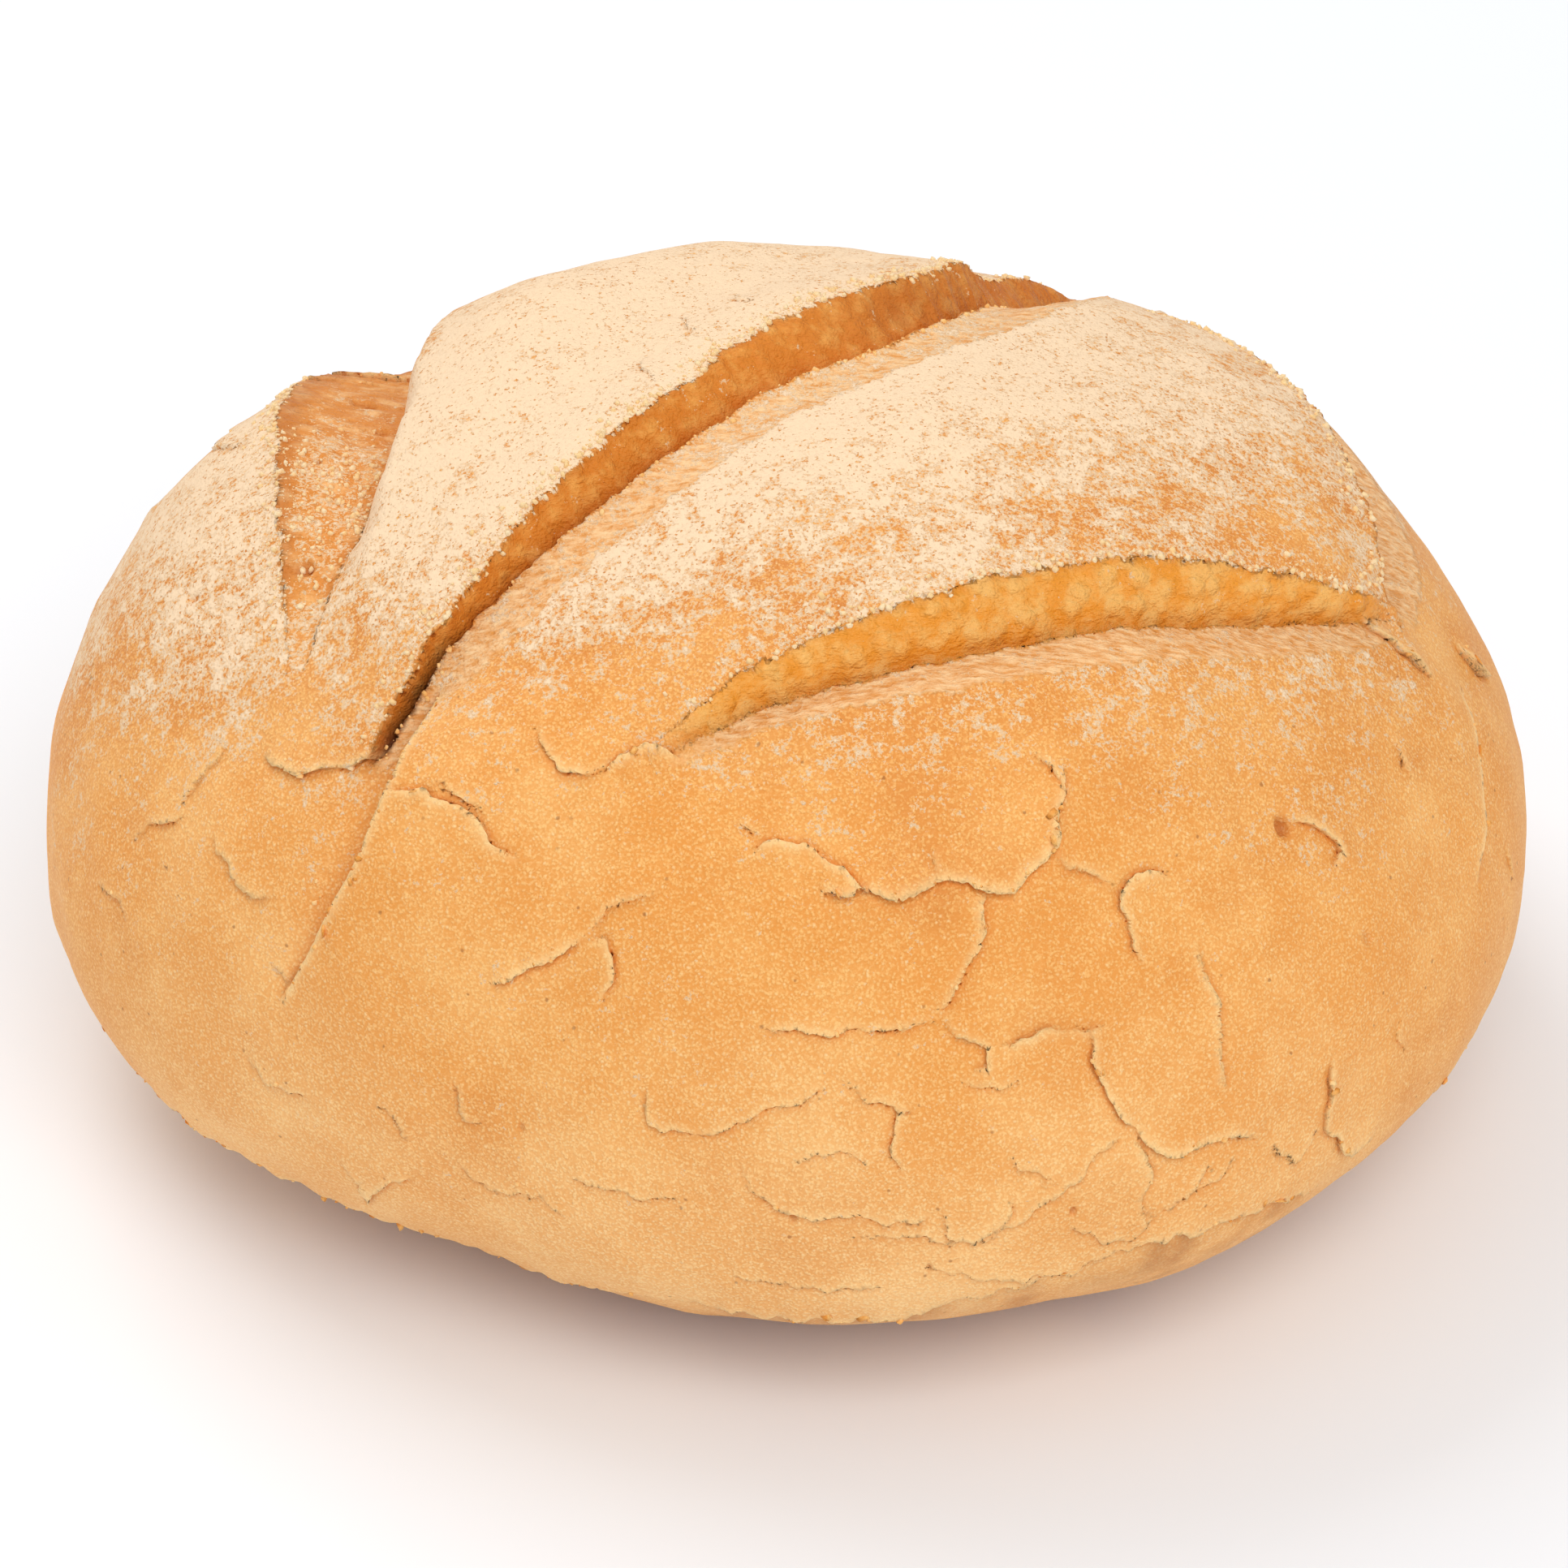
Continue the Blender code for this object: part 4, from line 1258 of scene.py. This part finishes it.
def skin_group():
    """A shader group for the plain skin: pale blisters, grain, toasted specks and height."""
    inputs = {"Blister Size": SKIN_BLISTER, "Share": 0.5}
    tree, into, out = new_group("baked_skin", inputs, ("Pale", "Grain", "Speck", "Height"))
    place = add(tree, "TexCoord")[3]
    bent = add(tree, "TexNoise", place, BEND_SCALE, 2.0, 0.5)[1]
    shifted = add(tree, "VectorMath", bent, BEND, place, operation="MULTIPLY_ADD")[0]
    cell_scale = calc(tree, "DIVIDE", 1.0, into[0])
    cells = add(tree, "TexVoronoi", shifted, cell_scale)
    pick = add(tree, "SeparateColor", cells[1])[0]
    dome = fade(tree, cells[0], 0.70, 0.10)
    chosen = fade(tree, pick, calc(tree, "SUBTRACT", 1.0, into[1]), 1.0)
    pale = calc(tree, "MULTIPLY", dome, chosen)
    fine = cloud_of(tree, place, 2600.0, 2.0, 0.6)
    grain = fade(tree, weighted(tree, (dome, 0.28), (fine, 1)), 0.44, 0.86)
    specks = add(tree, "TexVoronoi", shifted, SPECK_SCALE)
    speck_pick = add(tree, "SeparateColor", specks[1])[1]
    speck = calc(tree, "MULTIPLY", fade(tree, specks[0], 0.16, 0.06), fade(tree, speck_pick, 0.86, 0.90))
    broad = cloud_of(tree, place, 420.0, 3.0, 0.55)
    height = weighted(tree, (dome, 0.8), (fine, 0.5), (broad, 1.4))
    for value, socket in zip((pale, grain, speck, height), out):
        tree.links.new(value, socket)
    return tree


SKIN = skin_group()

# %% [markdown]
# ## The crust's finish
#
# One material serves the whole loaf, because the skin, the torn walls and the flour run into each
# other. It builds up in layers: golden skin first, then blisters, the fresh crust of the slashes, pale
# rims with a painted highlight, painted shade in creases, grooves and pits, and the flour last.

# %% Colours of the crust
GOLDEN = colour(232, 152, 66)
GOLDEN_PALE = colour(250, 190, 112)
LOW_CRUST = colour(255, 216, 156)
LOW_DARK = colour(238, 176, 106)
TOASTED = colour(206, 122, 50)
TOASTED_PALE = colour(240, 172, 92)
BLISTER = colour(252, 214, 156)
SPECK = colour(120, 62, 30)
STRIP = colour(251, 210, 157)
STRIP_DARK = colour(224, 148, 68)
WALL = colour(220, 130, 38)
WALL_VEIL = colour(240, 168, 80)
GLASSY = colour(238, 152, 44)
GLASSY_VEIL = colour(246, 184, 98)
# Painted shade for slash bottoms, the undersides of lips, and pits
PAINTED_RECESS_SHADE = colour(172, 88, 26)
SHADE = colour(204, 118, 46)
# Painted shade for the dark fissure
FISSURE_SHADE = colour(84, 28, 10)
# Pale torn rims with a painted highlight, and also the pale tone of the torn crumbs
RIM_HIGHLIGHT_AND_CRUMB = colour(254, 214, 150)
FLOUR_THIN = colour(244, 203, 153)
FLOUR_THICK = colour(246, 215, 178)
LUMP_PALE = colour(254, 228, 184)
LUMP_WARM = colour(252, 212, 150)
UNDERSIDE = colour(176, 104, 46)

# %% Crust material
SKIN_BUMP = 0.10
FLOUR_BUMP = 0.12
TORN_BUMP = 0.55
BUMP_HEIGHT = 0.001


def crust_material():
    """The crust's finish, laid on layer by layer."""
    material, tree, shader = new_material("baked_crust")
    place = add(tree, "TexCoord")[3]
    pale, grain, speck, skin_height = place_group(tree, SKIN, SKIN_BLISTER, 0.2)

    def masked(name, share):
        return calc(tree, "MULTIPLY", mask_of(tree, name), share)

    mottle = fade(tree, cloud_of(tree, place, 60.0, 4.0, 0.65), 0.35, 0.75)
    # The paler low flank, partly painted bounce light, also lifts the tone
    tone = weighted(tree, (grain, 0.85), (mottle, 0.5), (mask_of(tree, "low"), 0.15))
    tone = calc(tree, "SUBTRACT", tone, 0.10, clamp=True)
    golden = mix(tree, tone, GOLDEN, GOLDEN_PALE)
    toasted = mix(tree, tone, TOASTED, TOASTED_PALE)
    pale_crust = mix(tree, tone, LOW_DARK, LOW_CRUST)
    crown = calc(tree, "MULTIPLY", fade(tree, mask_of(tree, "flour"), 0.15, 0.75), 0.75)
    browned = calc(tree, "MAXIMUM", masked("toast", 0.35), crown)

    fibre_place = add(tree, "Mapping", place, (0, 0, 0), (0.2, 0, math.radians(42)), (0.3, 1, 1))[0]
    fibre = cloud_of(tree, fibre_place, 1100.0, 3.0, 0.65)
    veil = cloud_of(tree, place, 260.0, 3.0, 0.6)
    bubble = fade(tree, add(tree, "TexVoronoi", place, 300.0)[0], 0.70, 0.15)
    cloudy = weighted(tree, (bubble, 0.12), (fibre, 0.35), (veil, 1))
    strip = mix(tree, fade(tree, fibre, 0.28, 0.72), STRIP_DARK, STRIP)
    wall = mix(tree, fade(tree, cloudy, 0.62, 0.98), WALL, WALL_VEIL)
    glassy = mix(tree, fade(tree, cloudy, 0.56, 0.90), GLASSY, GLASSY_VEIL)
    fresh = mix(tree, fade(tree, cloudy, 0.60, 1.10), STRIP_DARK, STRIP)
    wall = mix(tree, mask_of(tree, "glassy"), wall, glassy)
    wall = mix(tree, masked("fresh", 0.55), wall, fresh)

    amount = mask_of(tree, "flour")
    cover, thickness, flour_height = place_group(tree, FLOUR, amount, *FLOUR_SIZES.values())
    flour = mix(tree, thickness, FLOUR_THIN, FLOUR_THICK)
    opaque = calc(tree, "ADD", calc(tree, "MULTIPLY", thickness, 0.3), 0.72, clamp=True)
    base = golden
    for share, layer in (
        # Paler low flank: partly the crust's own tone, partly painted bounce light from the floor
        (masked("low", 0.85), pale_crust),
        (browned, toasted),
        (calc(tree, "MULTIPLY", pale, 0.55), BLISTER),
        (calc(tree, "MULTIPLY", speck, 0.5), SPECK),
        (masked("under", 0.8), UNDERSIDE),
        (mask_of(tree, "strip"), strip),
        (mask_of(tree, "wall"), wall),
        # Pale torn rims with a painted highlight
        (masked("rim", 0.8), RIM_HIGHLIGHT_AND_CRUMB),
        # Painted shadow beside folds, cracks and the tucked edge
        (masked("crease", 0.55), SHADE),
        # Painted shade in slash bottoms, under lips and in pits
        (masked("deep", 0.7), PAINTED_RECESS_SHADE),
        # Painted shade in the fissure at the front end of the middle slash
        (mask_of(tree, "gap"), FISSURE_SHADE),
        (calc(tree, "MULTIPLY", cover, opaque), flour),
    ):
        base = mix(tree, share, base, layer)
    tree.links.new(base, shader.inputs["Base Color"])

    rough = calc(tree, "ADD", calc(tree, "MULTIPLY", cover, 0.3), 0.6)
    rough = calc(tree, "SUBTRACT", rough, masked("glassy", 0.18))
    tree.links.new(rough, shader.inputs["Roughness"])
    blown = calc(tree, "MULTIPLY", bubble, calc(tree, "ADD", masked("wall", 0.5), masked("glassy", 0.5)))
    torn = weighted(tree, (fibre, mask_of(tree, "bare")), (blown, 1))
    relief = weighted(tree, (skin_height, SKIN_BUMP), (flour_height, FLOUR_BUMP), (torn, TORN_BUMP))
    tree.links.new(add(tree, "Bump", 1.0, BUMP_HEIGHT, None, relief)[0], shader.inputs["Normal"])
    shader.inputs["Specular IOR Level"].default_value = 0.3
    return material


crust.data.materials.append(crust_material())

# %% [markdown]
# ## Clumps of flour and crumbs
#
# Flour hangs in clumps on the lips of the slashes, and torn edges shed crumbs. Thousands of tiny lumps
# are Geometry Nodes work: points are scattered where a mask is high, and each gets a small lump with
# its own turn and size. The result is made a plain mesh, so that it exports.

# %% Scatter tree
LUMP_BULGE = 1.3
LUMP_WIDTH = 0.75
LUMP_TILT = 0.6
LUMP_TURN = 3.1


def scatter_tree(name, material):
    """Geometry nodes that scatter lumps where a mask is high. Most lumps are small."""
    tree = bpy.data.node_groups.new(name, "GeometryNodeTree")
    for label, kind in (
        ("Geometry", "Geometry"),
        ("Lumps per Square Metre", "Float"),
        ("Smallest Lump", "Float"),
        ("Largest Lump", "Float"),
        ("Flatness", "Float"),
        ("Seed", "Int"),
        ("Where", "String"),
    ):
        tree.interface.new_socket(label, in_out="INPUT", socket_type="NodeSocket" + kind)
    tree.interface.new_socket("Geometry", in_out="OUTPUT", socket_type="NodeSocketGeometry")
    into = tree.nodes.new("NodeGroupInput").outputs
    seed = into["Seed"]

    def node(kind, inputs, **settings):
        """A node with its settings made and these inputs joined or set. Gives its outputs."""
        made = tree.nodes.new(kind)
        for label, value in settings.items():
            setattr(made, label, value)
        feed(tree, [made.inputs[key] for key in inputs], inputs.values())
        return made.outputs

    mask = node("GeometryNodeInputNamedAttribute", {"Name": into["Where"]}, data_type="FLOAT")[0]
    density = node("ShaderNodeMath", {0: mask, 1: into["Lumps per Square Metre"]}, operation="MULTIPLY")[0]
    spots = {"Mesh": into["Geometry"], "Density": density, "Seed": seed}
    scatter = node("GeometryNodeDistributePointsOnFaces", spots)

    ball = node("GeometryNodeMeshIcoSphere", {"Radius": 1.0, "Subdivisions": 1})["Mesh"]
    bulges = node("ShaderNodeTexNoise", {"Scale": 1.3, "Detail": 0.0})["Color"]
    shift = node("ShaderNodeVectorMath", {0: bulges, 1: (0.5, 0.5, 0.5)}, operation="SUBTRACT")[0]
    push = node("ShaderNodeVectorMath", {0: shift, "Scale": LUMP_BULGE}, operation="SCALE")[0]
    lump = node("GeometryNodeSetPosition", {"Geometry": ball, "Offset": push})[0]

    pick = node("FunctionNodeRandomValue", {"Seed": seed}, data_type="FLOAT")[1]
    rarer = node("ShaderNodeMath", {0: pick, 1: 3.0}, operation="POWER")[0]
    limits = {"Value": rarer, "To Min": into["Smallest Lump"], "To Max": into["Largest Lump"]}
    size = node("ShaderNodeMapRange", limits)[0]
    shape = node("ShaderNodeCombineXYZ", {0: 1.0, 1: LUMP_WIDTH, 2: into["Flatness"]})[0]
    scaled = node("ShaderNodeVectorMath", {0: shape, "Scale": size}, operation="SCALE")[0]
    most = (LUMP_TILT, LUMP_TILT, LUMP_TURN)
    turns = {0: tuple(-side for side in most), 1: most, "Seed": seed}
    turn = node("FunctionNodeRandomValue", turns, data_type="FLOAT_VECTOR")[0]
    ways = {0: scatter["Rotation"], 1: turn}
    turned = node("FunctionNodeRotateRotation", ways, rotation_space="LOCAL")[0]

    parts = {"Points": scatter["Points"], "Instance": lump, "Rotation": turned, "Scale": scaled}
    placed = node("GeometryNodeInstanceOnPoints", parts)[0]
    real = node("GeometryNodeRealizeInstances", {0: placed})[0]
    finish = node("GeometryNodeSetMaterial", {"Geometry": real, "Material": material})[0]
    node("NodeGroupOutput", {0: finish})
    return tree


def scattered(name, material, where, amount, smallest, largest, flatness, seed):
    """Lumps scattered over the crust where a mask is high, as a plain mesh object."""
    tree = scatter_tree(name, material)
    carrier = in_scene(name + "_carrier", crust.data)
    modifier = carrier.modifiers.new(name, "NODES")
    modifier.node_group = tree
    values = (amount, smallest, largest, flatness, seed, where)
    labels = [item for item in tree.interface.items_tree if item.in_out == "INPUT"][1:]
    for item, value in zip(labels, values):
        modifier[item.identifier] = value
    evaluated = carrier.evaluated_get(bpy.context.evaluated_depsgraph_get())
    mesh = bpy.data.meshes.new_from_object(evaluated)
    mesh.name = name
    bpy.data.objects.remove(carrier)
    mesh.shade_smooth()
    print(name + ":", len(mesh.polygons), "triangles")
    return in_scene(name, mesh)


def lump_material(name, light, dark, grain):
    """A finish for loose bits: two tones broken up by noise, with a rough grain."""
    material, tree, shader = new_material(name)
    place = add(tree, "TexCoord")[3]
    tones = cloud_of(tree, place, 700.0, 2.0, 0.5)
    base = mix(tree, fade(tree, tones, 0.35, 0.65), dark, light)
    tree.links.new(base, shader.inputs["Base Color"])
    rough = cloud_of(tree, place, grain, 3.0, 0.6)
    tree.links.new(add(tree, "Bump", 1.0, 0.0002, None, rough)[0], shader.inputs["Normal"])
    shader.inputs["Roughness"].default_value = 0.9
    shader.inputs["Specular IOR Level"].default_value = 0.2
    return material


# %% Scattered pieces
flour_lumps = lump_material("flour_lumps", LUMP_PALE, LUMP_WARM, 4000.0)
crumb = lump_material("torn_crumb", RIM_HIGHLIGHT_AND_CRUMB, GOLDEN_PALE, 3000.0)
flake = lump_material("crust_flake", GOLDEN_PALE, GOLDEN, 2500.0)
pieces = [
    scattered("flour_clumps", flour_lumps, "clump", 2.6e6, 0.10 * MM, 0.7 * MM, 0.75, 3),
    scattered("torn_crumbs", crumb, "torn", 1.4e6, 0.10 * MM, 0.6 * MM, 0.7, 8),
    scattered("crust_flakes", flake, "ragged", 3.0e5, 0.25 * MM, 1.2 * MM, 0.18, 5),
]

# %% [markdown]
# ## Studio
#
# The photograph was lit softly from all round on white. A pale floor, an even sky and two large soft
# lamps give that, and the camera stands where the photograph was taken from.

# %% Floor and sky
FLOOR_HALF = 6.0
floor_mesh = bpy.data.meshes.new("floor")
corners = [(-1, -1), (1, -1), (1, 1), (-1, 1)]
floor_mesh.from_pydata([(x * FLOOR_HALF, y * FLOOR_HALF, 0) for x, y in corners], [], [(0, 1, 2, 3)])
floor = in_scene("floor", floor_mesh)
paper, _, paper_shader = new_material("pale_floor")
paper_shader.inputs["Base Color"].default_value = (0.92, 0.94, 0.97, 1)
paper_shader.inputs["Roughness"].default_value = 0.9
floor.data.materials.append(paper)

world = bpy.data.worlds.new("studio")
world.use_nodes = True
sky = world.node_tree.nodes["Background"]
sky.inputs["Color"].default_value = (1, 1, 1, 1)
sky.inputs["Strength"].default_value = 0.63
bpy.context.scene.world = world

# %% Lamps and camera
# Where each lamp stands, its size and its power
LAMPS = (
    ("back_lamp", (-0.55, 0.6, 1.1), 0.8, 6.0),
    ("front_lamp", (0.30, -0.9, 1.1), 0.9, 8.1),
)
for name, stand, size, power in LAMPS:
    lamp = bpy.data.lights.new(name, "AREA")
    lamp.energy = power
    lamp.size = size
    lamp_object = in_scene(name, lamp)
    lamp_object.location = stand
    away = Vector(stand) - Vector((0, 0, AIM_HEIGHT))
    lamp_object.rotation_euler = away.to_track_quat("Z", "Y").to_euler()

camera = bpy.data.cameras.new("camera")
camera.sensor_width = SENSOR
camera.lens = FOCAL_PIXELS / FRAME_PIXELS * SENSOR
camera.shift_x = -(AXIS_X - FRAME_PIXELS / 2) / FRAME_PIXELS
camera.shift_y = (AXIS_Y - FRAME_PIXELS / 2) / FRAME_PIXELS
camera_object = in_scene("camera", camera)
camera_object.location = BODY_SHIFT + CAMERA_STAND
camera_object.rotation_euler = (math.pi / 2 - CAMERA_PITCH, 0, 0)
bpy.context.scene.camera = camera_object
bpy.context.scene.view_settings.view_transform = "Standard"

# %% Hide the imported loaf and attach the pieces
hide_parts("loaf")
for piece in [crust] + pieces:
    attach(piece, "root")
